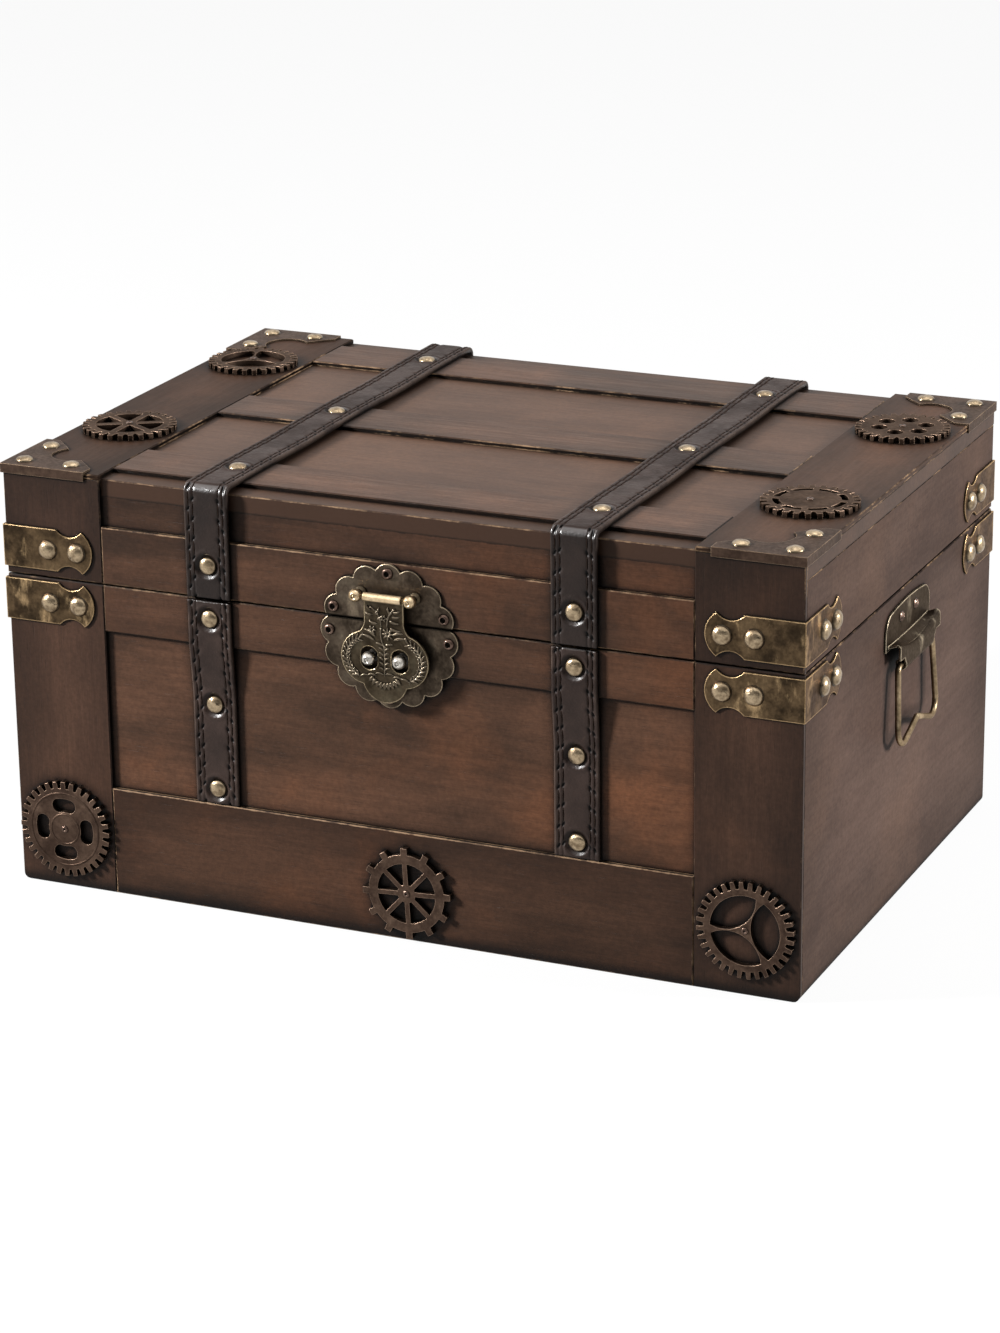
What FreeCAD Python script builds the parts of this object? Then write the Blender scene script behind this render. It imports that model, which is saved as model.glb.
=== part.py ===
"""Wooden treasure chest with a hinged flat lid, leather straps, cut brass corners and gear ornaments.

Millimetres. The origin is the centre of the underside, +Z is up and the front faces -Y.
"""
import FreeCAD
import Part
import Sketcher
import math
import os
from collections import namedtuple
from types import SimpleNamespace

Vector = FreeCAD.Vector
Rotation = FreeCAD.Rotation
Placement = FreeCAD.Placement

SIZES = {
    # Carcass
    "overall_width": 440.0,
    "overall_depth": 300.0,
    "overall_height": 230.0,
    "lid_depth": 59.0,
    "seam_gap": 0.8,
    "wall_thickness": 9.0,
    "bottom_thickness": 6.0,
    "top_thickness": 9.0,
    "rebate_depth": 4.5,
    "edge_easing": 0.6,
    "foot_round": 4.5,
    "cut_overrun": 2.0,
    # Boards laid on the front and on the lid
    "overlay_thickness": 2.5,
    "stile_width": 56.5,
    "rail_height": 59.0,
    "body_slat_height": 25.0,
    "lid_slat_height": 30.5,
    "top_slat_width": 37.0,
    "top_slat_inset": 34.5,
    # Leather straps
    "strap_width": 24.5,
    "strap_thickness": 2.6,
    "strap_offset": 101.0,
    "strap_bend": 2.5,
    "strap_back_drop": 32.0,
    "strap_slope": 9.0,
    "strap_end_gap": 0.6,
    "strap_nail_inset": 8.0,
    "strap_seam_nail_inset": 9.4,
    "strap_lid_nail_rise": 17.6,
    "strap_middle_nail_share": 0.63,
    # Nails and screws
    "nail_head_radius": 5.4,
    "nail_dome": 3.2,
    "nail_shank_radius": 1.1,
    "nail_shank_length": 9.0,
    "nail_point": 1.6,
    "small_nail_head_radius": 4.8,
    "small_nail_dome": 2.2,
    "screw_head_radius": 3.1,
    "screw_dome": 1.5,
    "screw_shank_radius": 1.2,
    "screw_shank_length": 8.0,
    "screw_point": 1.8,
    "hole_clearance": 0.15,
    # Corner brackets
    "bracket_sheet": 1.0,
    "bracket_height": 22.4,
    "bracket_leg": 51.0,
    "bracket_band": 30.5,
    "bracket_tip": 45.0,
    "bracket_bite": 3.4,
    "bracket_inner_nail": 25.3,
    "bracket_outer_nail": 42.0,
    "lid_bracket_rise": 4.0,
    "body_bracket_drop": 1.6,
    # Corner protectors on the lid's top
    "protector_sheet": 1.0,
    "protector_leg": 48.0,
    "protector_lip": 4.0,
    "protector_end": 7.0,
    "protector_scallop_radius": 12.0,
    "protector_nail_inset": 8.5,
    "protector_nail_reach": 36.0,
    # Gear ornaments
    "gear_thickness": 3.0,
    "gear_bore_radius": 1.2,
    "gear_pin_head_radius": 2.0,
    "gear_pin_dome": 0.8,
    "gear_pin_radius": 1.0,
    "top_gear_radius": 25.0,
    "left_gear_radius": 26.5,
    "rail_gear_radius": 24.6,
    "right_gear_radius": 25.7,
    "top_gear_front_inset": 85.0,
    "top_gear_back_inset": 71.0,
    "left_gear_height": 33.0,
    "rail_gear_height": 26.8,
    "right_gear_height": 35.6,
    "rail_gear_offset": 7.6,
    # Latch
    "latch_sheet": 1.2,
    "latch_drop": 7.4,
    "latch_lobe_circle": 30.4,
    "latch_lobe_radius": 7.6,
    "latch_screw_circle": 33.0,
    "post_radius": 1.9,
    "post_ball_radius": 3.6,
    "post_reach": 7.5,
    "post_collar_radius": 3.0,
    "post_collar_height": 0.8,
    "hinge_post_spread": 30.0,
    "hinge_post_rise": 14.5,
    "staple_spread": 17.0,
    "staple_drop": 18.0,
    "latch_pin_radius": 1.2,
    "latch_pin_length": 35.0,
    "pin_clearance": 0.05,
    "barrel_radius": 2.2,
    "barrel_length": 20.8,
    "tongue_sheet": 1.4,
    "tongue_neck_width": 21.6,
    "tongue_lobe_radius": 14.1,
    "tongue_lobe_offset": 10.0,
    "tongue_tip_radius": 12.4,
    "tongue_tip_drop": 10.5,
    "tongue_flare_top": 13.0,
    "tongue_flare_half": 18.5,
    "tongue_flare_bottom": 21.2,
    "tongue_flare_radius": 9.0,
    "slot_width": 9.4,
    "slot_height": 12.4,
    "slot_crown": 3.6,
    # Side handles
    "handle_offset": 5.0,
    "handle_sheet": 1.2,
    "handle_half_width": 35.0,
    "handle_shoulder": 6.2,
    "handle_corner": 10.0,
    "handle_arch": 1.5,
    "handle_drop": 35.5,
    "hood_rise": 11.5,
    "hood_end_rise": 13.5,
    "hood_middle_rise": 7.6,
    "hood_corner": 2.4,
    "hood_top_half": 32.0,
    "hood_bottom_half": 22.0,
    "hood_ear_half": 25.4,
    "hood_ear_rise": 5.0,
    "handle_screw_offset": 11.4,
    "handle_screw_rise": 22.0,
    "bail_axis_offset": 5.2,
    "bail_rod_radius": 1.6,
    "bail_clearance": 0.3,
    "bail_half_width": 27.5,
    "bail_foot_half_width": 31.5,
    "bail_length": 47.3,
    "bail_notch": 36.8,
    "bail_shoulder_radius": 4.0,
    "bail_foot_radius": 8.0,
    "bail_notch_radius": 3.0,
    # Stop hinges on the back
    "hinge_clearance": 9.0,
    "hinge_length": 40.0,
    "hinge_leaf_height": 22.0,
    "hinge_sheet": 1.2,
    "hinge_knuckle_radius": 3.0,
    "hinge_knuckle_length": 13.2,
    "hinge_knuckle_gap": 0.3,
    "hinge_leaf_gap": 0.4,
    "hinge_pin_radius": 1.4,
    "hinge_stop_reach": 4.0,
    "hinge_stop_rise": 5.4,
    "hinge_stop_length": 8.0,
    "hinge_screw_offset": 12.0,
    "hinge_screw_inset": 7.0,
}

LATCH_LOBES = 16
BAIL_LEAN = 3
BASE_SCREW_TURNS = (0, 180, 270)
LID_SCREW_TURNS = (22.5, 90, 157.5)

# Each gear's form: its counts, and shares of its outer radius. The tooth shares are of the tooth pitch.
# A spoked wheel has a rim, a hub and spokes; a pierced one, round holes on a circle of the hub's share;
# a curved one, windows between two arcs, the inner one as far out as the hub's share; a slotted one,
# curved slots between those two shares, whose ends are arcs of the opening share of a slot's width.
GearForm = namedtuple(
    "GearForm",
    "kind teeth tooth_root_share tooth_tip_share root_share openings rim_share hub_share opening_share "
    "window_half_turn turn")
SIX_SPOKES = GearForm("spoked", 28, 0.60, 0.42, 0.86, 6, 0.72, 0.18, 0.14, 0, 30)
ARC_SLOTS = GearForm("spoked", 26, 0.56, 0.46, 0.86, 8, 0.76, 0.62, 0.12, 0, 10)
FOUR_SLOTS = GearForm("slotted", 32, 0.56, 0.44, 0.86, 4, 0.645, 0.36, 0.52, 17.5, 0)
LUGGED_WHEEL = GearForm("spoked", 12, 0.28, 0.26, 0.86, 8, 0.66, 0.20, 0.10, 0, 3)
ROUND_HOLES = GearForm("pierced", 28, 0.60, 0.42, 0.86, 6, 0.72, 0.50, 0.18, 0, 30)
BACK_CURVES = GearForm("curved", 28, 0.56, 0.44, 0.85, 3, 0.72, 0.12, 0, 53, 170)
FRONT_CURVES = GearForm("curved", 32, 0.50, 0.40, 0.85, 3, 0.72, 0.12, 0, 53, 5)


class Size:
    """A length held as a number and as the sheet expression that it comes from."""

    def __init__(self, value, text):
        self.value = value
        self.text = text

    def __add__(self, other):
        other = sized(other)
        return Size(self.value + other.value, f"({self.text} + {other.text})")

    def __sub__(self, other):
        other = sized(other)
        return Size(self.value - other.value, f"({self.text} - {other.text})")

    def __mul__(self, other):
        other = sized(other)
        return Size(self.value * other.value, f"({self.text} * {other.text})")

    def __truediv__(self, other):
        other = sized(other)
        return Size(self.value / other.value, f"({self.text} / {other.text})")

    def __neg__(self):
        return Size(-self.value, f"(0 - {self.text})")


def sized(number):
    """A plain number as a Size."""
    if isinstance(number, Size):
        return number
    return Size(float(number), f"{float(number)}")


doc = FreeCAD.newDocument("TreasureChest")
sheet = doc.addObject("Spreadsheet::Sheet", "Sizes")
for row, (alias, amount) in enumerate(SIZES.items(), 1):
    sheet.set(f"A{row}", alias)
    sheet.set(f"B{row}", str(amount))
    sheet.setAlias(f"B{row}", alias)
doc.recompute()
s = SimpleNamespace(**{alias: Size(amount, f"Sizes.{alias}") for alias, amount in SIZES.items()})
sub_parts = []


# Building blocks

def bind(thing, name, size):
    """Ties a property to the sheet."""
    thing.setExpression(name, sized(size).text)


def put(thing, x, y, z, turn=Rotation()):
    """Places an object by sizes from the sheet, after a turn."""
    thing.Placement = Placement(Vector(), turn)
    for axis, size in zip("xyz", (x, y, z)):
        bind(thing, f"Placement.Base.{axis}", size)


def new_body(label, sub_part=True):
    """An empty body; a sub-part is written out, a pattern piece is only copied."""
    body = doc.addObject("PartDesign::Body", label)
    if sub_part:
        sub_parts.append(body)
    return body


def origin_feature(body, role):
    return next(feature for feature in body.Origin.OriginFeatures if feature.Role == role)


def sketch_on(body, role="XY_Plane", lift=None):
    """A sketch on one of the body's own planes, lifted along the plane's normal."""
    sketch = body.newObject("Sketcher::SketchObject", "Outline")
    sketch.AttachmentSupport = [(origin_feature(body, role), "")]
    sketch.MapMode = "FlatFace"
    if lift is not None:
        bind(sketch, "AttachmentOffset.Base.z", lift)
    return sketch


def measure(sketch, kind, geometry, point, size):
    """Ties one coordinate or radius in a sketch to the sheet."""
    size = sized(size)
    if kind == "Radius":
        index = sketch.addConstraint(Sketcher.Constraint(kind, geometry, size.value))
    else:
        index = sketch.addConstraint(Sketcher.Constraint(kind, -1, 1, geometry, point, size.value))
    sketch.setExpression(f"Constraints[{index}]", size.text)


def arc_between(start, end, radius):
    """An arc under a half turn; a positive radius bulges to the right of the way from start to end."""
    way = end - start
    half = way.Length / 2
    right = Vector(way.y, -way.x, 0).normalize()
    sagitta = abs(radius) - math.sqrt(radius * radius - half * half)
    middle = (start + end) * 0.5 + right * math.copysign(sagitta, radius)
    return Part.Arc(start, middle, end)


def outline(sketch, points, arcs=()):
    """A closed outline through points; arcs gives the radius of each curved side by its number."""
    arcs = dict(arcs)
    points = [(sized(x), sized(y)) for x, y in points]
    places = [Vector(x.value, y.value, 0) for x, y in points]
    sides = []
    for number, start in enumerate(places):
        end = places[(number + 1) % len(places)]
        if number in arcs:
            curve = arc_between(start, end, arcs[number].value)
        else:
            curve = Part.LineSegment(start, end)
        sides.append(sketch.addGeometry(curve, False))
    ends = []
    for number, side in enumerate(sides):
        first_gap = sketch.getPoint(side, 1).distanceToPoint(places[number])
        last_gap = sketch.getPoint(side, 2).distanceToPoint(places[number])
        ends.append((1, 2) if first_gap < last_gap else (2, 1))
    for number, side in enumerate(sides):
        following = (number + 1) % len(sides)
        sketch.addConstraint(
            Sketcher.Constraint("Coincident", side, ends[number][1], sides[following], ends[following][0]))
        measure(sketch, "DistanceX", side, ends[number][0], points[number][0])
        measure(sketch, "DistanceY", side, ends[number][0], points[number][1])
    for number, radius in arcs.items():
        magnitude = radius if radius.value > 0 else -radius
        measure(sketch, "Radius", sides[number], 0, magnitude)


def circle(sketch, x, y, radius):
    x, y, radius = sized(x), sized(y), sized(radius)
    curve = Part.Circle(Vector(x.value, y.value, 0), Vector(0, 0, 1), radius.value)
    ring = sketch.addGeometry(curve, False)
    measure(sketch, "Radius", ring, 0, radius)
    measure(sketch, "DistanceX", ring, 3, x)
    measure(sketch, "DistanceY", ring, 3, y)


def rectangle(sketch, x0, y0, x1, y1):
    outline(sketch, [(x0, y0), (x1, y0), (x1, y1), (x0, y1)])


def pad(body, sketch, length, backwards=False, both_ways=False):
    feature = body.newObject("PartDesign::Pad", "Pad")
    feature.Profile = sketch
    bind(feature, "Length", length)
    feature.Reversed = backwards
    feature.Midplane = both_ways
    body.Tip = feature
    return feature


def pocket(body, sketch):
    """A cut right through, both ways from the sketch."""
    feature = body.newObject("PartDesign::Pocket", "Pocket")
    feature.Profile = sketch
    feature.Midplane = True
    feature.Type = "ThroughAll"
    body.Tip = feature
    return feature


def around(body, feature, count):
    """Repeats a feature round the body's own Z axis."""
    pattern = body.newObject("PartDesign::PolarPattern", "Around")
    pattern.Originals = [feature]
    pattern.Axis = (origin_feature(body, "Z_Axis"), [""])
    pattern.Angle = 360
    pattern.Occurrences = count
    body.Tip = pattern
    return pattern


def loft(body, sketches):
    """A solid drawn smoothly through sketches on parallel planes."""
    feature = body.newObject("PartDesign::AdditiveLoft", "Loft")
    feature.Profile = sketches[0]
    feature.Sections = sketches[1:]
    body.Tip = feature
    return feature


def round_foot(body, outer, inward):
    """Rounds a board's lower outer edge; outer is that edge's place and inward the sign of the way in."""
    radius = s.foot_round
    over = s.cut_overrun
    near = outer + radius * inward
    far = outer - over * inward
    sketch = sketch_on(body, "XZ_Plane")
    outline(sketch, [(near, 0), (outer, radius), (far, radius), (far, -over), (near, -over)],
            {0: -radius * inward})
    pocket(body, sketch)


def block(body, low, size, cut=False):
    """A box added to the body, or cut from it."""
    kind = "PartDesign::SubtractiveBox" if cut else "PartDesign::AdditiveBox"
    feature = body.newObject(kind, "Block")
    for name, length in zip(("Length", "Width", "Height"), size):
        bind(feature, name, length)
    for axis, place in zip("xyz", low):
        bind(feature, f"Placement.Base.{axis}", place)
    body.Tip = feature
    return feature


def rod(body, radius, length, middle, cut=False):
    """A round bar along the body's X axis, centred on middle."""
    kind = "PartDesign::SubtractiveCylinder" if cut else "PartDesign::AdditiveCylinder"
    feature = body.newObject(kind, "Rod")
    bind(feature, "Radius", radius)
    bind(feature, "Height", length)
    feature.Placement = Placement(Vector(), Rotation(Vector(0, 1, 0), 90))
    middle = (sized(middle[0]) - length / 2, middle[1], middle[2])
    for axis, place in zip("xyz", middle):
        bind(feature, f"Placement.Base.{axis}", place)
    body.Tip = feature
    return feature


def board(label, low, size, eased=None, rebates=()):
    """A sawn board: one face with eased edges, then square rebates cut out of it."""
    body = new_body(label)
    blank = block(body, (0, 0, 0), size)
    doc.recompute()
    if eased:
        easing = body.newObject("PartDesign::Chamfer", "Easing")
        easing.Base = (blank, [eased])
        bind(easing, "Size", s.edge_easing)
        body.Tip = easing
    for rebate_low, rebate_size in rebates:
        block(body, rebate_low, rebate_size, cut=True)
    put(body, *low)
    return body


def group(label, copies):
    """One node of separate solids: copies of pattern pieces, each at its own place."""
    doc.recompute()
    solids = []
    for pattern, place in copies:
        solid = pattern.Shape.copy()
        solid.Placement = place
        solids.append(solid)
    feature = doc.addObject("Part::Feature", label)
    feature.Shape = Part.Compound(solids)
    feature.Placement = Placement()
    sub_parts.append(feature)
    return feature


def spot(x, y, z, turn=Rotation()):
    """Where one copy of a pattern piece goes."""
    return Placement(Vector(sized(x).value, sized(y).value, sized(z).value), turn)


def on_circle(radius, degrees):
    turn = math.radians(degrees)
    return radius * math.cos(turn), radius * math.sin(turn)


# The way a piece drawn in its own XY plane stands on each face
ON_TOP = Rotation()
ON_FRONT = Rotation(Vector(1, 0, 0), 90)
ON_BACK = Rotation(Vector(0, 0, 1), 180).multiply(ON_FRONT)
ON_RIGHT = Rotation(Vector(0, 0, 1), 90).multiply(ON_FRONT)
ON_LEFT = Rotation(Vector(0, 0, 1), -90).multiply(ON_FRONT)

# Faces of a block by the way they look
LEFT_FACE = "Face1"
RIGHT_FACE = "Face2"
FRONT_FACE = "Face3"
TOP_FACE = "Face6"

# Levels and planes that several pieces share
right = s.overall_width / 2
left = -right
back = s.overall_depth / 2
front = -back
core_front = front + s.overlay_thickness
core_depth = back - core_front
seam_height = s.overall_height - s.lid_depth
lid_bottom = seam_height + s.seam_gap
seam_middle = seam_height + s.seam_gap / 2
top_board_top = s.overall_height - s.overlay_thickness
lid_wall_top = top_board_top - s.top_thickness
lid_wall_height = lid_wall_top - lid_bottom
inner_edge = right - s.stile_width
between_stiles = inner_edge * 2
slat_bottom = seam_height - s.body_slat_height
slat_spacing = back - s.top_slat_inset


# Carcass: side walls take the front and back walls in rebates, and all four take the bottom board

def side_wall(label, on_right, bottom, height, has_bottom):
    """A side wall with a rebate down each end, and one along the foot for the bottom board."""
    inset = sized(0) if on_right else s.wall_thickness - s.rebate_depth
    tall = height + s.cut_overrun * 2
    rebates = [
        ((inset, sized(0), -s.cut_overrun), (s.rebate_depth, s.wall_thickness, tall)),
        ((inset, core_depth - s.wall_thickness, -s.cut_overrun), (s.rebate_depth, s.wall_thickness, tall)),
    ]
    if has_bottom:
        foot_start = s.wall_thickness - s.rebate_depth
        rebates.append(((inset, foot_start, sized(0)),
                        (s.rebate_depth, core_depth - foot_start * 2, s.bottom_thickness)))
    x = right - s.wall_thickness if on_right else left
    wall = board(label, (x, core_front, bottom), (s.wall_thickness, core_depth, height),
                 RIGHT_FACE if on_right else LEFT_FACE, rebates)
    if has_bottom and on_right:
        round_foot(wall, s.wall_thickness, -1)
    elif has_bottom:
        round_foot(wall, sized(0), 1)


def cross_wall(label, at_back, bottom, height, has_bottom):
    """A front or back wall, held in the side walls' rebates."""
    half = right - s.wall_thickness + s.rebate_depth
    inset = sized(0) if at_back else s.wall_thickness - s.rebate_depth
    rebates = []
    if has_bottom:
        rebates.append(((-s.cut_overrun, inset, sized(0)),
                        (half * 2 + s.cut_overrun * 2, s.rebate_depth, s.bottom_thickness)))
    y = back - s.wall_thickness if at_back else core_front
    board(label, (-half, y, bottom), (half * 2, s.wall_thickness, height), None, rebates)


def carcass():
    for name, on_right in (("left", False), ("right", True)):
        side_wall(f"body_{name}_wall", on_right, sized(0), seam_height, True)
        side_wall(f"lid_{name}_wall", on_right, lid_bottom, lid_wall_height, False)
    for name, at_back in (("front", False), ("back", True)):
        cross_wall(f"body_{name}_wall", at_back, sized(0), seam_height, True)
        cross_wall(f"lid_{name}_wall", at_back, lid_bottom, lid_wall_height, False)
    margin = s.wall_thickness - s.rebate_depth
    board("bottom_board", (left + margin, core_front + margin, sized(0)),
          ((right - margin) * 2, core_depth - margin * 2, s.bottom_thickness))
    board("lid_top_board", (left, core_front, lid_wall_top), (s.overall_width, core_depth, s.top_thickness),
          TOP_FACE)


# Overlay boards: stiles, rail and slats on the front, end boards and slats on the lid

def front_board(label, x, z, width, height):
    return board(label, (x, front, z), (width, s.overlay_thickness, height), FRONT_FACE)


def top_board(label, x, y, width, depth):
    board(label, (x, y, top_board_top), (width, depth, s.overlay_thickness), TOP_FACE)


def overlays():
    for name, x, outer, inward in (("left", left, sized(0), 1), ("right", inner_edge, s.stile_width, -1)):
        stile = front_board(f"body_{name}_stile", x, sized(0), s.stile_width, seam_height)
        round_foot(stile, outer, inward)
        front_board(f"lid_{name}_stile", x, lid_bottom, s.stile_width, top_board_top - lid_bottom)
        top_board(f"lid_{name}_end_board", x, front, s.stile_width, s.overall_depth)
    front_board("body_bottom_rail", -inner_edge, sized(0), between_stiles, s.rail_height)
    front_board("body_seam_slat", -inner_edge, slat_bottom, between_stiles, s.body_slat_height)
    front_board("lid_seam_slat", -inner_edge, lid_bottom, between_stiles, s.lid_slat_height)
    for name, middle in (("front", -slat_spacing), ("middle", sized(0)), ("back", slat_spacing)):
        top_board(f"lid_{name}_top_slat", -inner_edge, middle - s.top_slat_width / 2,
                  between_stiles, s.top_slat_width)


# Straps: one over the lid and one down the body on each side, cut at the seam

def lid_strap(label, middle):
    """A strap from the seam, up the lid's front, over the top and a little way down its back."""
    body = new_body(label)
    sketch = sketch_on(body, "YZ_Plane")
    thick = s.strap_thickness
    bend = s.strap_bend
    top = s.overall_height
    outer = bend + thick
    end = lid_bottom + s.strap_end_gap
    tail = top - s.strap_back_drop
    points = [(front, end), (front, top - bend), (front + bend, top), (back - bend, top),
              (back, top - bend), (back, tail), (back + thick, tail), (back + thick, top - bend),
              (back - bend, top + thick), (front + bend, top + thick), (front - thick, top - bend),
              (front - thick, end)]
    outline(sketch, points, {1: -bend, 3: -bend, 7: outer, 9: outer})
    pad(body, sketch, s.strap_width)
    put(body, middle - s.strap_width / 2, 0, 0)


def body_strap(label, middle):
    """A strap over the slat below the seam, then down the panel to the rail."""
    body = new_body(label)
    sketch = sketch_on(body, "YZ_Plane")
    thick = s.strap_thickness
    start = seam_height - s.strap_end_gap
    end = s.rail_height + s.strap_end_gap
    step = slat_bottom - s.strap_slope
    points = [(front, start), (front - thick, start), (front - thick, slat_bottom),
              (core_front - thick, step), (core_front - thick, end), (core_front, end), (core_front, step),
              (front, slat_bottom)]
    outline(sketch, points)
    pad(body, sketch, s.strap_width)
    put(body, middle - s.strap_width / 2, 0, 0)


def straps():
    for name, middle in (("left", -s.strap_offset), ("right", s.strap_offset)):
        lid_strap(f"lid_{name}_strap", middle)
        body_strap(f"body_{name}_strap", middle)


# Fastener patterns: a turned head over a pointed shank, drawn with the head's seat at zero height

def fastener(label, head, dome, shank, length, point):
    body = new_body(label, sub_part=False)
    sketch = sketch_on(body, "XZ_Plane")
    crown = (head * head + dome * dome) / (dome * 2)
    points = [(0, -length), (shank, point - length), (shank, 0), (head, 0), (0, dome)]
    outline(sketch, points, {3: crown})
    turned = body.newObject("PartDesign::Revolution", "Turned")
    turned.Profile = sketch
    turned.ReferenceAxis = (sketch, ["V_Axis"])
    turned.Angle = 360
    body.Tip = turned
    return body


nail = fastener("nail_pattern", s.nail_head_radius, s.nail_dome, s.nail_shank_radius, s.nail_shank_length,
                s.nail_point)
small_nail = fastener("small_nail_pattern", s.small_nail_head_radius, s.small_nail_dome,
                      s.nail_shank_radius, s.nail_shank_length, s.nail_point)
screw = fastener("screw_pattern", s.screw_head_radius, s.screw_dome, s.screw_shank_radius,
                 s.screw_shank_length, s.screw_point)
gear_pin = fastener("gear_pin_pattern", s.gear_pin_head_radius, s.gear_pin_dome, s.gear_pin_radius,
                    s.screw_shank_length, s.screw_point)
nail_hole = s.nail_shank_radius + s.hole_clearance
screw_hole = s.screw_shank_radius + s.hole_clearance
lid_nails = []
body_nails = []
lid_screws = []
body_screws = []


def strap_nails():
    for middle in (-s.strap_offset, s.strap_offset):
        on_slat = front - s.strap_thickness
        on_panel = core_front - s.strap_thickness
        on_back = back + s.strap_thickness
        on_top = s.overall_height + s.strap_thickness
        for y in (-slat_spacing, sized(0), slat_spacing):
            lid_nails.append((nail, spot(middle, y, on_top, ON_TOP)))
        lid_nails.append((nail, spot(middle, on_slat, lid_bottom + s.strap_lid_nail_rise, ON_FRONT)))
        tail_nail = s.overall_height - s.strap_back_drop + s.strap_nail_inset
        lid_nails.append((nail, spot(middle, on_back, tail_nail, ON_BACK)))
        top_nail = seam_height - s.strap_end_gap - s.strap_seam_nail_inset
        end_nail = s.rail_height + s.strap_end_gap + s.strap_nail_inset
        body_nails.append((nail, spot(middle, on_slat, top_nail, ON_FRONT)))
        middle_nail = s.rail_height + (slat_bottom - s.rail_height) * s.strap_middle_nail_share
        body_nails.append((nail, spot(middle, on_panel, middle_nail, ON_FRONT)))
        body_nails.append((nail, spot(middle, on_panel, end_nail, ON_FRONT)))


# Corner brackets: a folded band whose ends spread into two horns

# Each corner as its name, its two signs and its quarter turns from the front left one
CORNERS = (("front_left", -1, -1, 0), ("front_right", 1, -1, 1),
           ("back_right", 1, 1, 2), ("back_left", -1, 1, 3))


def quarter(turns):
    return Rotation(Vector(0, 0, 1), 90 * turns)


def angle_outline(sketch, sheet_size, leg):
    """The plan of two legs folded round the outside of a corner at the origin."""
    outline(sketch, [(-sheet_size, -sheet_size), (leg, -sheet_size), (leg, 0), (0, 0), (0, leg),
                     (-sheet_size, leg)])


def bracket(label, sub_part=True):
    """A bracket for the front left corner, standing on zero height."""
    body = new_body(label, sub_part)
    tall = s.bracket_height
    sketch = sketch_on(body)
    angle_outline(sketch, s.bracket_sheet, s.bracket_leg)
    pad(body, sketch, tall)
    horn = s.bracket_leg - s.bracket_tip
    end_radius = (tall * tall / 4 + horn * horn) / (horn * 2)
    half_bite = (s.bracket_tip - s.bracket_band) / 2
    bite_radius = (half_bite * half_bite + s.bracket_bite * s.bracket_bite) / (s.bracket_bite * 2)
    bite_middle = s.bracket_band + half_bite
    over = s.cut_overrun
    for role in ("XZ_Plane", "YZ_Plane"):
        sketch = sketch_on(body, role)
        far = s.bracket_leg + over
        outline(sketch, [(s.bracket_tip, -over), (far, -over), (far, tall + over),
                         (s.bracket_tip, tall + over), (s.bracket_tip, tall), (s.bracket_tip, 0)],
                {4: -end_radius})
        pocket(body, sketch)
        sketch = sketch_on(body, role)
        circle(sketch, bite_middle, tall + bite_radius - s.bracket_bite, bite_radius)
        circle(sketch, bite_middle, s.bracket_bite - bite_radius, bite_radius)
        for reach in (s.bracket_inner_nail, s.bracket_outer_nail):
            circle(sketch, reach, tall / 2, nail_hole)
        pocket(body, sketch)
    return body


def bracket_nails(nails, x_side, y_side, middle):
    """Two nails through each leg of a bracket."""
    on_cross = ON_BACK if y_side > 0 else ON_FRONT
    on_side = ON_RIGHT if x_side > 0 else ON_LEFT
    x_face = right * x_side
    y_face = back * y_side
    x_seat = x_face + s.bracket_sheet * x_side
    y_seat = y_face + s.bracket_sheet * y_side
    for reach in (s.bracket_inner_nail, s.bracket_outer_nail):
        nails.append((nail, spot(x_face - reach * x_side, y_seat, middle, on_cross)))
        nails.append((nail, spot(x_seat, y_face - reach * y_side, middle, on_side)))


def brackets():
    """Front brackets are nodes of their own; the two at the back share one."""
    levels = (("lid", lid_bottom + s.lid_bracket_rise, lid_nails),
              ("body", seam_height - s.body_bracket_drop - s.bracket_height, body_nails))
    pattern = bracket("bracket_pattern", sub_part=False)
    for part, level, nails in levels:
        rear = []
        for name, x_side, y_side, turns in CORNERS:
            x, y = right * x_side, back * y_side
            if y_side < 0:
                put(bracket(f"{part}_{name}_bracket"), x, y, level, quarter(turns))
            else:
                rear.append((pattern, spot(x, y, level, quarter(turns))))
            bracket_nails(nails, x_side, y_side, level + s.bracket_height / 2)
        group(f"{part}_back_brackets", rear)


# Corner protectors: a scalloped corner plate with two lips folded down over the lid's edges

def protectors():
    for name, x_side, y_side, turns in CORNERS:
        body = new_body(f"{name}_corner_protector")
        thin = s.protector_sheet
        leg = s.protector_leg
        end = s.protector_end
        sketch = sketch_on(body)
        outline(sketch, [(-thin, -thin), (leg, -thin), (leg, end), (end, leg), (-thin, leg)])
        pad(body, sketch, thin)
        sketch = sketch_on(body)
        angle_outline(sketch, thin, leg)
        pad(body, sketch, s.protector_lip, backwards=True)
        sketch = sketch_on(body)
        scallop_middle = (leg + end) / 2
        circle(sketch, scallop_middle, scallop_middle, s.protector_scallop_radius)
        near, far = s.protector_nail_inset, s.protector_nail_reach
        holes = ((near, near), (far, near), (near, far))
        for x, y in holes:
            circle(sketch, x, y, nail_hole)
        pocket(body, sketch)
        put(body, right * x_side, back * y_side, s.overall_height, quarter(turns))
        for x, y in holes:
            if turns % 2:
                x, y = y, x
            place = spot((right - x) * x_side, (back - y) * y_side, s.overall_height + thin, ON_TOP)
            lid_nails.append((small_nail, place))


# Gear ornaments: toothed wheels that are pinned flat to the boards and never turn

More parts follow.
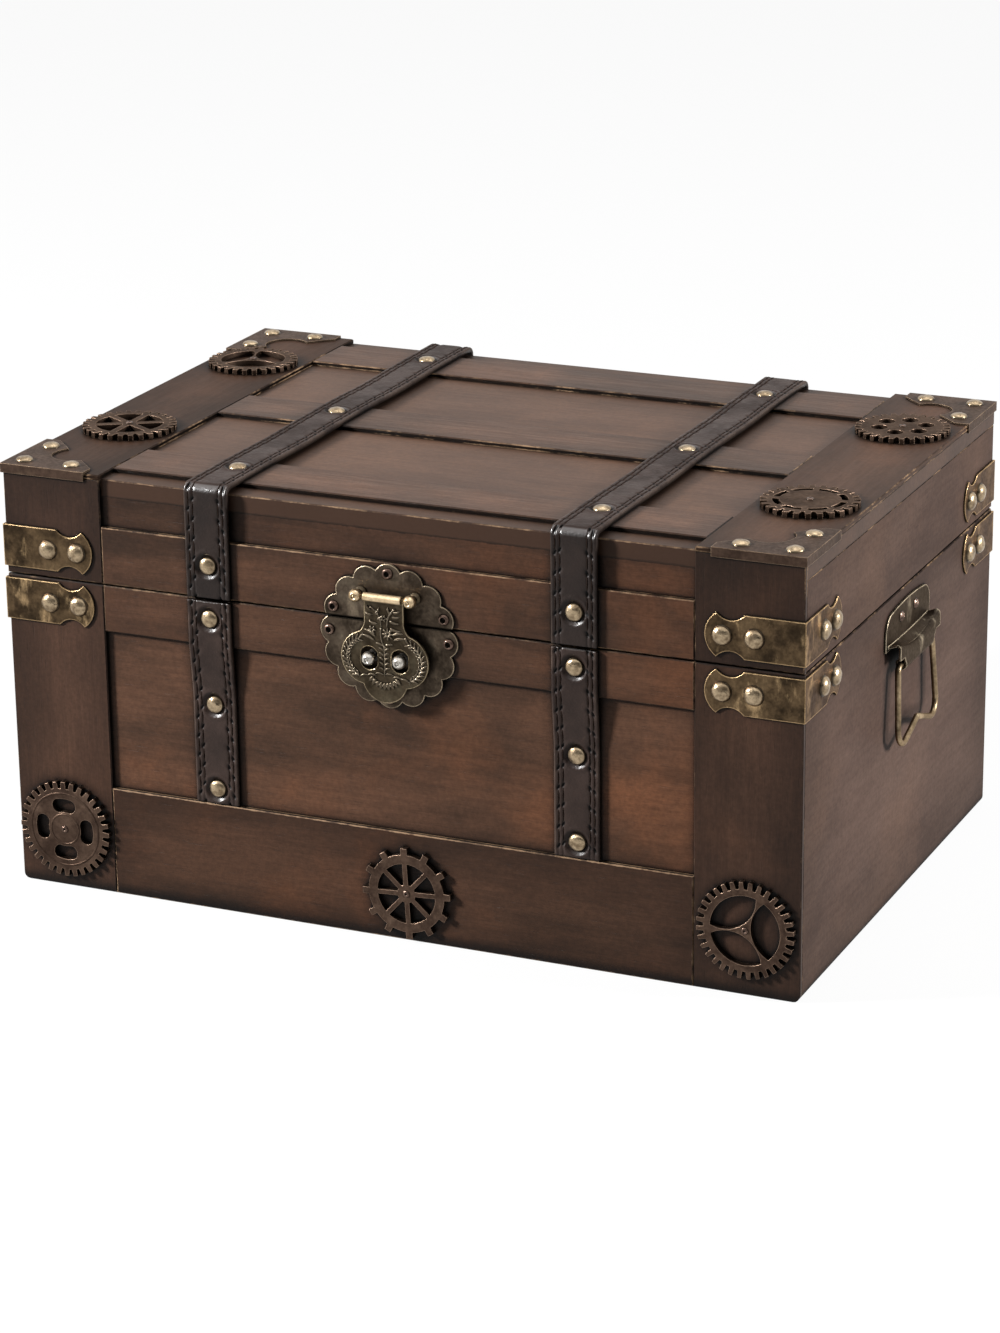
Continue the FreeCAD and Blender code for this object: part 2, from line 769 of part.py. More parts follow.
def spoked_blank(body, radius, form):
    """A rim and a hub joined by straight spokes; the opening share is a spoke's width."""
    rim_middle = radius * ((form.root_share + form.rim_share) / 2)
    spoke_half = radius * (form.opening_share / 2)
    sketch = sketch_on(body)
    rectangle(sketch, 0, -spoke_half, rim_middle, spoke_half)
    spoke = pad(body, sketch, s.gear_thickness)
    sketch = sketch_on(body)
    circle(sketch, 0, 0, radius * form.root_share)
    circle(sketch, 0, 0, radius * form.rim_share)
    pad(body, sketch, s.gear_thickness)
    sketch = sketch_on(body)
    circle(sketch, 0, 0, radius * form.hub_share)
    pad(body, sketch, s.gear_thickness)
    around(body, spoke, form.openings)


def pierced_blank(body, radius, form):
    """A disc with a ring of round holes; the opening share is a hole's radius."""
    sketch = sketch_on(body)
    circle(sketch, 0, 0, radius * form.root_share)
    pad(body, sketch, s.gear_thickness)
    sketch = sketch_on(body)
    circle(sketch, radius * form.hub_share, 0, radius * form.opening_share)
    around(body, pocket(body, sketch), form.openings)


def curved_blank(body, radius, form):
    """A disc with windows between the rim's arc and an arc round the hub."""
    sketch = sketch_on(body)
    circle(sketch, 0, 0, radius * form.root_share)
    pad(body, sketch, s.gear_thickness)
    rim = radius * form.rim_share
    corner_x, corner_y = on_circle(rim, form.window_half_turn)
    depth = corner_x - radius * form.hub_share
    hub_arc = (corner_y * corner_y + depth * depth) / (depth * 2)
    sketch = sketch_on(body)
    outline(sketch, [(corner_x, -corner_y), (corner_x, corner_y)], {0: rim, 1: hub_arc})
    around(body, pocket(body, sketch), form.openings)


def slotted_blank(body, radius, form):
    """A disc with curved slots, rounded at both ends."""
    sketch = sketch_on(body)
    circle(sketch, 0, 0, radius * form.root_share)
    pad(body, sketch, s.gear_thickness)
    inner = radius * form.hub_share
    outer = radius * form.rim_share
    cap = (outer - inner) * form.opening_share
    inner_x, inner_y = on_circle(inner, form.window_half_turn)
    outer_x, outer_y = on_circle(outer, form.window_half_turn)
    sketch = sketch_on(body)
    outline(sketch, [(inner_x, -inner_y), (outer_x, -outer_y), (outer_x, outer_y), (inner_x, inner_y)],
            {0: cap, 1: outer, 2: cap, 3: -inner})
    around(body, pocket(body, sketch), form.openings)


BLANKS = {"spoked": spoked_blank, "pierced": pierced_blank, "curved": curved_blank, "slotted": slotted_blank}


def gear(label, radius, form, x, y, z, turn):
    body = new_body(label)
    BLANKS[form.kind](body, radius, form)
    pitch_share = 2 * math.pi / form.teeth
    root_half = radius * (pitch_share * form.tooth_root_share / 2)
    tip_half = radius * (pitch_share * form.tooth_tip_share / 2)
    foot = radius * (form.root_share * math.cos(pitch_share / 2))
    sketch = sketch_on(body)
    outline(sketch, [(foot, -root_half), (radius, -tip_half), (radius, tip_half), (foot, root_half)])
    around(body, pad(body, sketch, s.gear_thickness), form.teeth)
    sketch = sketch_on(body)
    circle(sketch, 0, 0, s.gear_bore_radius)
    pocket(body, sketch)
    put(body, x, y, z, turn.multiply(Rotation(Vector(0, 0, 1), form.turn)))


def gears():
    middle = right - s.stile_width / 2
    front_row = front + s.top_gear_front_inset
    back_row = back - s.top_gear_back_inset
    level = s.overall_height
    for name, form, x, y in (("front_left", SIX_SPOKES, -middle, front_row),
                             ("back_left", BACK_CURVES, -middle, back_row),
                             ("front_right", ARC_SLOTS, middle, front_row),
                             ("back_right", ROUND_HOLES, middle, back_row)):
        gear(f"top_{name}_gear", s.top_gear_radius, form, x, y, level, ON_TOP)
        lid_screws.append((gear_pin, spot(x, y, level + s.gear_thickness, ON_TOP)))
    for name, form, radius, x, z in (
            ("left", FOUR_SLOTS, s.left_gear_radius, -middle, s.left_gear_height),
            ("middle", LUGGED_WHEEL, s.rail_gear_radius, s.rail_gear_offset, s.rail_gear_height),
            ("right", FRONT_CURVES, s.right_gear_radius, middle, s.right_gear_height)):
        gear(f"front_{name}_gear", radius, form, x, front, z, ON_FRONT)
        body_screws.append((gear_pin, spot(x, front - s.gear_thickness, z, ON_FRONT)))


# Latch: a scalloped plate split by the seam, a tongue on a pin, and two staple posts

def latch_plate(label, upper, screw_turns, post_x, post_y):
    """One part of the round plate; its middle is the body's origin and the seam cuts it across."""
    body = new_body(label)
    sketch = sketch_on(body)
    circle(sketch, 0, 0, s.latch_lobe_circle)
    pad(body, sketch, s.latch_sheet)
    sketch = sketch_on(body)
    circle(sketch, s.latch_lobe_circle, 0, s.latch_lobe_radius)
    around(body, pad(body, sketch, s.latch_sheet), LATCH_LOBES)
    reach = s.latch_lobe_circle + s.latch_lobe_radius + s.cut_overrun
    sketch = sketch_on(body)
    if upper:
        rectangle(sketch, -reach, -reach, reach, s.latch_drop + s.seam_gap / 2)
    else:
        rectangle(sketch, -reach, s.latch_drop - s.seam_gap / 2, reach, reach)
    pocket(body, sketch)
    sketch = sketch_on(body)
    for degrees in screw_turns:
        x, y = on_circle(s.latch_screw_circle, degrees)
        circle(sketch, x, y, screw_hole)
    for side in (-1, 1):
        circle(sketch, post_x * side, post_y, s.post_radius + s.hole_clearance)
    pocket(body, sketch)
    put(body, 0, front, seam_middle - s.latch_drop, ON_FRONT)


def post(label, cross_hole):
    """A ball-headed post; its tail goes through the plate, which it stands on with a collar."""
    body = new_body(label, sub_part=False)
    stem = body.newObject("PartDesign::AdditiveCylinder", "Stem")
    bind(stem, "Radius", s.post_radius)
    bind(stem, "Height", s.post_reach)
    collar = body.newObject("PartDesign::AdditiveCylinder", "Collar")
    bind(collar, "Radius", s.post_collar_radius)
    bind(collar, "Height", s.post_collar_height)
    bind(collar, "Placement.Base.z", s.latch_sheet)
    ball = body.newObject("PartDesign::AdditiveSphere", "Ball")
    bind(ball, "Radius", s.post_ball_radius)
    bind(ball, "Placement.Base.z", s.post_reach)
    body.Tip = ball
    if cross_hole:
        through = (s.post_ball_radius + s.cut_overrun) * 2
        rod(body, s.latch_pin_radius + s.pin_clearance, through, (0, 0, s.post_reach), cut=True)
    return body


def tongue(level):
    """The swinging tongue: a rolled barrel, a neck, two lobes and a tip, with a slot for each staple."""
    body = new_body("latch_tongue")
    low = -s.barrel_radius
    neck = s.tongue_neck_width / 2
    lobe_y = -(s.hinge_post_rise + s.staple_drop)
    sketch = sketch_on(body, lift=low)
    rectangle(sketch, -neck, lobe_y, neck, 0)
    pad(body, sketch, s.tongue_sheet)
    discs = ((s.tongue_lobe_offset, lobe_y, s.tongue_lobe_radius),
             (-s.tongue_lobe_offset, lobe_y, s.tongue_lobe_radius),
             (sized(0), lobe_y - s.tongue_tip_drop, s.tongue_tip_radius))
    for x, y, radius in discs:
        sketch = sketch_on(body, lift=low)
        circle(sketch, x, y, radius)
        pad(body, sketch, s.tongue_sheet)
    sketch = sketch_on(body, lift=low)
    flare = s.tongue_flare_half
    outline(sketch, [(-neck, -s.tongue_flare_top), (-flare, -s.tongue_flare_bottom),
                     (flare, -s.tongue_flare_bottom), (neck, -s.tongue_flare_top)],
            {0: -s.tongue_flare_radius, 2: -s.tongue_flare_radius})
    pad(body, sketch, s.tongue_sheet)
    half = s.slot_width / 2
    crown = s.slot_crown
    straight = s.slot_height / 2 - crown
    crown_radius = (half * half + crown * crown) / (crown * 2)
    for side in (-1, 1):
        x = s.staple_spread / 2 * side
        sketch = sketch_on(body, lift=low)
        outline(sketch, [(x - half, lobe_y - straight), (x + half, lobe_y - straight),
                         (x + half, lobe_y + straight), (x - half, lobe_y + straight)],
                {0: crown_radius, 2: crown_radius})
        pocket(body, sketch)
    rod(body, s.barrel_radius, s.barrel_length, (0, 0, 0))
    through = s.barrel_length + s.cut_overrun * 2
    rod(body, s.latch_pin_radius + s.pin_clearance, through, (0, 0, 0), cut=True)
    put(body, 0, front - s.post_reach, level, ON_FRONT)


def latch():
    pin_level = seam_middle + s.hinge_post_rise
    staple_level = seam_middle - s.staple_drop
    hinge_x = s.hinge_post_spread / 2
    staple_x = s.staple_spread / 2
    latch_plate("latch_lid_plate", True, LID_SCREW_TURNS, hinge_x, s.latch_drop + s.hinge_post_rise)
    latch_plate("latch_base_plate", False, BASE_SCREW_TURNS, staple_x, s.latch_drop - s.staple_drop)
    hinge_post = post("hinge_post_pattern", True)
    staple = post("staple_pattern", False)
    for label, pattern, x, level in (("latch_hinge_posts", hinge_post, hinge_x, pin_level),
                                     ("latch_staple_posts", staple, staple_x, staple_level)):
        group(label, [(pattern, spot(x * side, front, level, ON_FRONT)) for side in (-1, 1)])
    pin = new_body("latch_pin")
    rod(pin, s.latch_pin_radius, s.latch_pin_length, (0, 0, 0))
    put(pin, 0, front - s.post_reach, pin_level, ON_FRONT)
    tongue(pin_level)
    middle = seam_middle - s.latch_drop
    for screws, turns in ((lid_screws, LID_SCREW_TURNS), (body_screws, BASE_SCREW_TURNS)):
        for degrees in turns:
            x, y = on_circle(s.latch_screw_circle, degrees)
            screws.append((screw, spot(x, front - s.latch_sheet, middle + y, ON_FRONT)))


# Side handles: an arched plate folded into a scooped hood that is rolled round the bar of a hanging bail

def hood_section(sketch, fold, bore, roll):
    """The hood's sheet cut across: out from the plate, over the fold, down and round the bail's bar."""
    thin = s.handle_sheet
    corner = s.hood_corner
    bend = fold - corner
    axis = s.bail_axis_offset
    deep = axis + roll
    outline(sketch, [(s.hood_rise, thin / 2), (fold, deep - corner), (bend, deep), (0, deep),
                     (-roll, axis), (0, axis - roll), (roll, axis), (bore, axis), (0, axis - bore),
                     (-bore, axis), (0, deep - thin), (bend, deep - thin), (fold - thin, deep - corner),
                     (s.hood_rise - thin, thin / 2)],
            {1: corner, 3: roll, 4: roll, 5: roll, 7: -bore, 8: -bore, 9: -bore, 11: -(corner - thin)})


def handle_plate(label):
    """Drawn on its wall: X along the wall, Y up from the bail's axis and Z out of the wall."""
    body = new_body(label)
    thin = s.handle_sheet
    half = s.handle_half_width
    foot = s.hood_rise - thin * 2
    shoulder = s.hood_rise + s.handle_shoulder
    corner_top = shoulder + s.handle_corner
    flat = half - s.handle_corner
    crown = (flat * flat + s.handle_arch * s.handle_arch) / (s.handle_arch * 2)
    sketch = sketch_on(body)
    outline(sketch, [(-half, foot), (half, foot), (half, shoulder), (flat, corner_top),
                     (-flat, corner_top), (-half, shoulder)],
            {2: s.handle_corner, 3: crown, 4: s.handle_corner})
    pad(body, sketch, thin)
    bore = s.bail_rod_radius + s.bail_clearance
    roll = bore + thin
    sections = []
    for lift, fold in ((-s.hood_top_half, s.hood_end_rise), (sized(0), s.hood_middle_rise),
                       (s.hood_top_half, s.hood_end_rise)):
        sections.append(sketch_on(body, "YZ_Plane", lift))
        hood_section(sections[-1], fold, bore, roll)
    loft(body, sections)
    over = s.cut_overrun
    low = -(roll + over)
    for side in (-1, 1):
        sketch = sketch_on(body)
        wide = (s.hood_top_half + over) * side
        inner = s.hood_bottom_half * side
        outline(sketch, [(inner, low), (inner, 0), (s.hood_ear_half * side, s.hood_ear_rise),
                         (wide, s.hood_ear_rise), (wide, low)])
        pocket(body, sketch)
    sketch = sketch_on(body)
    for side in (-1, 1):
        circle(sketch, s.handle_screw_offset * side, s.handle_screw_rise, screw_hole)
    pocket(body, sketch)
    return body


def rounded_loop(points, radii):
    """A closed wire through points whose corners are rounded by arcs that meet the sides smoothly."""
    count = len(points)
    starts, ends, middles = [], [], []
    for number, corner in enumerate(points):
        before = (points[number - 1] - corner).normalize()
        after = (points[(number + 1) % count] - corner).normalize()
        half_angle = before.getAngle(after) / 2
        reach = radii[number] / math.tan(half_angle)
        inward = (before + after).normalize()
        starts.append(corner + before * reach)
        ends.append(corner + after * reach)
        middles.append(corner + inward * (radii[number] / math.sin(half_angle) - radii[number]))
    edges = []
    for number in range(count):
        edges.append(Part.Arc(starts[number], middles[number], ends[number]).toShape())
        edges.append(Part.LineSegment(ends[number], starts[(number + 1) % count]).toShape())
    return Part.Wire(edges)


def bail_shape():
    """A rod bent into a loop: a bar on the axis, two legs and a foot with a notch in its middle."""
    top = s.bail_half_width.value
    foot = s.bail_foot_half_width.value
    bottom = s.bail_rod_radius.value - s.bail_length.value
    notch = s.bail_rod_radius.value - s.bail_notch.value
    points = [Vector(top, 0, 0), Vector(foot, bottom, 0), Vector(0, notch, 0), Vector(-foot, bottom, 0),
              Vector(-top, 0, 0)]
    radii = [s.bail_shoulder_radius.value, s.bail_foot_radius.value, s.bail_notch_radius.value,
             s.bail_foot_radius.value, s.bail_shoulder_radius.value]
    path = rounded_loop(points, radii)
    start = path.OrderedEdges[0].valueAt(path.OrderedEdges[0].FirstParameter)
    along = path.OrderedEdges[0].tangentAt(path.OrderedEdges[0].FirstParameter)
    section = Part.Wire(Part.makeCircle(s.bail_rod_radius.value, start, along))
    return path.makePipeShell([section], True, False)


def handles():
    level = seam_height - s.handle_drop
    for name, x_side, turn in (("left", -1, ON_LEFT), ("right", 1, ON_RIGHT)):
        wall = right * x_side
        put(handle_plate(f"{name}_handle_plate"), wall, s.handle_offset, level, turn)
        bail = doc.addObject("Part::Feature", f"{name}_bail")
        bail.Shape = bail_shape()
        lean = turn.multiply(Rotation(Vector(1, 0, 0), -BAIL_LEAN))
        put(bail, (right + s.bail_axis_offset) * x_side, s.handle_offset, level, lean)
        sub_parts.append(bail)
        for side in (-1, 1):
            y = s.handle_offset + s.handle_screw_offset * side
            place = spot((right + s.handle_sheet) * x_side, y, level + s.handle_screw_rise, turn)
            body_screws.append((screw, place))


# Stop hinges: two leaves on a pin, with ears on both that meet and hold the lid just past upright

def hinge_leaf(label, on_lid):
    """A leaf seen from behind the chest: its axis is the body's X axis and Y points up."""
    body = new_body(label, sub_part=False)
    way = 1 if on_lid else -1
    radius = s.hinge_knuckle_radius
    near = radius + s.hinge_leaf_gap
    flat_height = s.hinge_leaf_height - near
    half = s.hinge_length / 2
    flat_low = near if on_lid else -s.hinge_leaf_height
    block(body, (-half, flat_low, -radius), (s.hinge_length, flat_height, s.hinge_sheet))
    web_height = near + s.hinge_sheet
    if on_lid:
        span = s.hinge_length - (s.hinge_knuckle_length + s.hinge_knuckle_gap) * 2
        middles = [sized(0)]
        web_low = sized(0)
    else:
        span = s.hinge_knuckle_length
        middles = [half - span / 2, span / 2 - half]
        web_low = -web_height
    for middle in middles:
        block(body, (middle - span / 2, web_low, -radius), (span, web_height, s.hinge_sheet))
        rod(body, radius, span, (middle, 0, 0))
    through = s.hinge_length + s.cut_overrun * 2
    rod(body, s.hinge_pin_radius + s.pin_clearance, through, (0, 0, 0), cut=True)
    ear_low = s.hinge_stop_rise if on_lid else -(s.hinge_stop_rise + s.hinge_sheet)
    ear_size = (s.hinge_stop_length, s.hinge_sheet, radius + s.hinge_stop_reach)
    for low in (-half, half - s.hinge_stop_length):
        block(body, (low, ear_low, -radius), ear_size)
    sketch = sketch_on(body)
    for side in (-1, 1):
        y = (s.hinge_leaf_height - s.hinge_screw_inset) * way
        circle(sketch, s.hinge_screw_offset * side, y, screw_hole)
    pocket(body, sketch)
    return body


def hinges():
    body_leaf = hinge_leaf("hinge_body_leaf_pattern", False)
    lid_leaf = hinge_leaf("hinge_lid_leaf_pattern", True)
    pin = new_body("hinge_pin_pattern", sub_part=False)
    rod(pin, s.hinge_pin_radius, s.hinge_length, (0, 0, 0))
    axis_y = back + s.hinge_knuckle_radius
    hinge_middle = right - s.bracket_leg - s.hinge_clearance - s.hinge_length / 2
    places = [spot(hinge_middle * side, axis_y, seam_middle, ON_BACK) for side in (-1, 1)]
    for label, pattern in (("hinge_body_leaves", body_leaf), ("hinge_lid_leaves", lid_leaf),
                           ("hinge_pins", pin)):
        group(label, [(pattern, place) for place in places])
    rise = s.hinge_leaf_height - s.hinge_screw_inset
    for screws, z in ((lid_screws, seam_middle + rise), (body_screws, seam_middle - rise)):
        for hinge_side in (-1, 1):
            for side in (-1, 1):
                x = hinge_middle * hinge_side + s.hinge_screw_offset * side
                screws.append((screw, spot(x, back + s.hinge_sheet, z, ON_BACK)))


carcass()
overlays()
straps()
strap_nails()
brackets()
protectors()
gears()
latch()
handles()
hinges()
group("lid_nails", lid_nails)
group("body_nails", body_nails)
group("lid_screws", lid_screws)
group("body_screws", body_screws)
doc.recompute()

for thing in doc.Objects:
    if "Invalid" in thing.State or "Error" in thing.State:
        raise RuntimeError(f"{thing.Label} is {thing.State}")
for sub_part in sub_parts:
    if sub_part.Shape.isNull() or not sub_part.Shape.isValid():
        raise RuntimeError(f"{sub_part.Label} has no valid shape")

os.makedirs("parts", exist_ok=True)
for sub_part in sub_parts:
    sub_part.Shape.exportStep(f"parts/{sub_part.Label}.step")
    print(f"{sub_part.Label}: {len(sub_part.Shape.Solids)} solid, {sub_part.Shape.Volume:.1f} mm3")
print(f"{len(sub_parts)} nodes")
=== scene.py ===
"""Looks of the treasure chest: stained boards, stitched leather straps, hammered nails and aged brass.

Metres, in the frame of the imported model: the origin is the centre of the underside, the front faces -Y.
"""

import bisect
import math
import random
from collections import namedtuple

import bmesh
import bpy
from mathutils import Matrix, Vector, noise


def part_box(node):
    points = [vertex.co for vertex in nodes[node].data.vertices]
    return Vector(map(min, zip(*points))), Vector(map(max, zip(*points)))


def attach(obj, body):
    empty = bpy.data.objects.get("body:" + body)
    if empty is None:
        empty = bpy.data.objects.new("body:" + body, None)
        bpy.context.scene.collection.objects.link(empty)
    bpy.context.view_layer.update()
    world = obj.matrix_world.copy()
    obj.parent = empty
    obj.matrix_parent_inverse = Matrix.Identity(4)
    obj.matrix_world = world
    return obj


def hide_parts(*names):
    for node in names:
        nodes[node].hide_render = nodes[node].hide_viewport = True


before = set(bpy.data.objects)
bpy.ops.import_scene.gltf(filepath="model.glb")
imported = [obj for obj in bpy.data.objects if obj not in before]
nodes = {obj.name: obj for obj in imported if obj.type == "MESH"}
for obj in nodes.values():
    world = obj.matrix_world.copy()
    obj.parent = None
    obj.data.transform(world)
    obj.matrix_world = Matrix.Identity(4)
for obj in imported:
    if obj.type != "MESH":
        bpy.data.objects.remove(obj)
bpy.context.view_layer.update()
MM = 0.001
WELD = 0.001 * MM
HANDS = ("left", "right")
SIDES = (-1, 1)
FORWARD = Vector((0, -1, 0))


# Node trees

class NodeTree:
    """The shader tree of a material or a world, with short ways to add nodes to it."""

    def __init__(self, owner):
        owner.use_nodes = True
        self.tree = owner.node_tree

    def add(self, kind, inputs=None, **settings):
        """A new node with its settings made and its sockets fed."""
        node = self.tree.nodes.new(f"ShaderNode{kind}")
        for name, value in settings.items():
            setattr(node, name, value)
        for socket, value in (inputs or {}).items():
            self.feed(node.inputs[socket], value)
        return node

    def feed(self, socket, value):
        """Links a socket to another, or sets it to a number, a vector or an opaque colour."""
        if isinstance(value, bpy.types.NodeSocket):
            self.tree.links.new(value, socket)
        else:
            socket.default_value = (*value, 1) if socket.type == "RGBA" else value

    def math(self, operation, first, second=0.0):
        return self.add("Math", {0: first, 1: second}, operation=operation).outputs[0]

    def times(self, first, second):
        return self.math("MULTIPLY", first, second)

    def plus(self, first, second):
        return self.math("ADD", first, second)

    def span(self, value, low, high, first=0.0, last=1.0):
        """Value carried smoothly from between low and high to between first and last."""
        inputs = {"Value": value, "From Min": low, "From Max": high, "To Min": first, "To Max": last}
        return self.add("MapRange", inputs, interpolation_type="SMOOTHSTEP").outputs["Result"]

    def parts(self, vector):
        """A vector's X, Y and Z."""
        return self.add("SeparateXYZ", {0: vector}).outputs

    def white_to_eye(self, lit, white):
        """Shows white where the camera, a mirror or glass looks, and lit to all other light."""
        ray = self.add("LightPath").outputs
        seen = self.math("MAXIMUM", ray["Is Camera Ray"], ray["Is Glossy Ray"])
        seen = self.math("MAXIMUM", seen, ray["Is Transmission Ray"])
        return self.add("MixShader", {0: seen, 1: lit, 2: white}).outputs[0]


class Finish(NodeTree):
    """A material and its colour so far, with the patterns, shades and edges that the finishes share."""

    def __init__(self, name, colour, **shader_values):
        self.material = bpy.data.materials.new(name)
        super().__init__(self.material)
        self.shader = self.tree.nodes["Principled BSDF"]
        self.colour = colour
        for socket, value in {"Base_Color": colour, **shader_values}.items():
            self.feed(self.shader.inputs[socket.replace("_", " ")], value)
        self.place = self.add("TexCoord").outputs["Object"]

    def normal(self):
        return self.add("NewGeometry").outputs["Normal"]

    def carried(self, name):
        """A value that the mesh carries at each of its points."""
        return self.add("Attribute", attribute_name=name).outputs["Fac"]

    def moved(self, shift, scale=(1, 1, 1), turn=(0, 0, 0)):
        """The surface's own coordinates, moved, turned and stretched."""
        inputs = {"Vector": self.place, "Scale": scale, "Location": shift, "Rotation": turn}
        return self.add("Mapping", inputs).outputs["Vector"]

    def noise(self, vector, scale, detail=4, roughness=0.55, distortion=0):
        inputs = {"Vector": vector, "Scale": scale, "Detail": detail, "Roughness": roughness,
                  "Distortion": distortion}
        return self.add("TexNoise", inputs).outputs["Fac"]

    def mix(self, amount, first, second):
        return self.add("Mix", {0: amount, 6: first, 7: second}, data_type="RGBA").outputs[2]

    def blend(self, amount, other):
        self.colour = self.mix(amount, self.colour, other)

    def cover(self, other, value, low, high, first=0.0, last=1.0):
        """Lays another colour over, from first to last of it as value goes from low to high."""
        self.blend(self.span(value, low, high, first, last), other)

    def shade(self, value, low, high, first, last):
        """Takes the brightness from first to last as value goes from low to high."""
        inputs = {"Color": self.colour, "Value": self.span(value, low, high, first, last)}
        self.colour = self.add("HueSaturation", inputs).outputs["Color"]

    def bump(self, height, depth, normal=None):
        inputs = {"Height": height, "Distance": depth}
        if normal is not None:
            inputs["Normal"] = normal
        return self.add("Bump", inputs).outputs["Normal"]

    def rounded(self, radius):
        """The normal of a surface whose edges are rounded, and how near the edge it is."""
        normal = self.add("Bevel", {"Radius": radius}, samples=6).outputs["Normal"]
        both = {0: normal, 1: self.normal()}
        alike = self.add("VectorMath", both, operation="DOT_PRODUCT").outputs["Value"]
        return normal, self.span(alike, 0.995, 0.93)

    def open_air(self, reach):
        """One where the surface lies open, towards zero in corners and beside other pieces."""
        return self.add("AmbientOcclusion", {"Distance": reach}, samples=6).outputs["AO"]

    def edge_distance(self, low, high):
        """How far a point on a board's face is from the board's nearest edge."""
        gaps = []
        for part, least, most in zip(self.parts(self.place), low, high):
            offset = self.math("ABSOLUTE", self.math("SUBTRACT", part, (least + most) / 2))
            gaps.append(self.math("SUBTRACT", (most - least) / 2, offset))
        smaller = self.math("MINIMUM", gaps[0], gaps[1])
        larger = self.math("MAXIMUM", gaps[0], gaps[1])
        return self.math("MAXIMUM", smaller, self.math("MINIMUM", larger, gaps[2]))

    def finish(self, roughness, normal):
        for socket, value in (("Base Color", self.colour), ("Roughness", roughness), ("Normal", normal)):
            self.feed(self.shader.inputs[socket], value)
        return self.material


def own_shift(name):
    """How far a pattern is moved on one piece, so that no two pieces look alike."""
    seed = random.Random(name)
    return tuple(seed.uniform(-9, 9) for _ in range(3))


def dress(material, *names):
    """Gives a material to CAD nodes."""
    for name in names:
        nodes[name].data.materials.clear()
        nodes[name].data.materials.append(material)


# Wood: one stain per kind of board, with grain, pores, darker borders, painted shade in the corners and worn
# edges on each

Stain = namedtuple("Stain", "dark middle warm")
PANEL_STAIN = Stain((0.041, 0.0215, 0.0130), (0.092, 0.0445, 0.0260), (0.158, 0.064, 0.031))
TRIM_STAIN = Stain((0.044, 0.0225, 0.0140), (0.072, 0.0365, 0.0230), (0.104, 0.049, 0.028))
TOP_STAIN = Stain((0.062, 0.034, 0.0215), (0.096, 0.051, 0.0320), (0.124, 0.061, 0.036))
CORE_STAIN = Stain((0.072, 0.038, 0.0235), (0.100, 0.053, 0.0330), (0.122, 0.062, 0.036))
SIDE_STAIN = Stain((0.061, 0.0378, 0.0295), (0.0845, 0.0534, 0.0412), (0.104, 0.0625, 0.0450))
PORE_BROWN = (0.010, 0.006, 0.004)
WORN_WOOD = (0.29, 0.186, 0.110)

PANELS = ("body_front_wall", "body_seam_slat", "body_bottom_rail", "lid_seam_slat", "lid_front_wall")
TOP_SLATS = ("lid_front_top_slat", "lid_middle_top_slat", "lid_back_top_slat")
CORES_ACROSS = ("bottom_board", "body_back_wall", "lid_back_wall", "lid_top_board")
CORES_DEEP = ("body_left_wall", "body_right_wall", "lid_left_wall", "lid_right_wall")

# How light a board is against its stain, where it differs; the lid's left end board darker than its right one
# is painted shade
TONE = {"lid_left_stile": 0.54, "lid_right_stile": 0.50, "body_left_stile": 0.94, "body_right_stile": 0.88,
        "body_bottom_rail": 0.71, "body_seam_slat": 1.15, "lid_seam_slat": 1.1, "lid_front_wall": 0.88,
        "lid_left_end_board": 0.46, "lid_right_end_board": 0.70, "lid_top_board": 0.82,
        "body_left_wall": 1.08, "body_right_wall": 1.08, "lid_left_wall": 1.2, "lid_right_wall": 1.2}
# How much of its edges is rubbed bare, where more or less than usual
WEAR = {"lid_front_wall": 0.0, "lid_seam_slat": 1.6, "lid_front_top_slat": 0.1, "lid_middle_top_slat": 1.1,
        "lid_back_top_slat": 1.1, "body_bottom_rail": 2.0, "body_front_wall": 0.2, "body_left_stile": 0.45,
        "body_right_stile": 0.45}
# How strongly it mirrors light: the end boards and side walls are duller than the rest
SHEEN = {"lid_left_end_board": 0.04, "lid_right_end_board": 0.06, **dict.fromkeys(CORES_DEEP, 0.02)}
PLAIN_SHEEN = 0.13
# How strongly the grain shows on the plainer boards
CALM_FIGURE = 0.45
GRAIN_STRETCH = 15
BLOTCH_STRETCH = 4
BOARD_BORDER = 30 * MM
WALL_BORDER = 62 * MM
BORDER_WANDER = 8 * MM
SHADE_AND_GRIME_REACH = 8 * MM
EDGE_LINE = (0.35 * MM, 0.75 * MM)
EDGE_NICK = 0.28 * MM
GRAIN_DEPTH = 0.05 * MM


def along(way, stretch):
    """The scale that draws a pattern out along one axis."""
    return tuple(1 if axis == way else stretch for axis in "xyz")


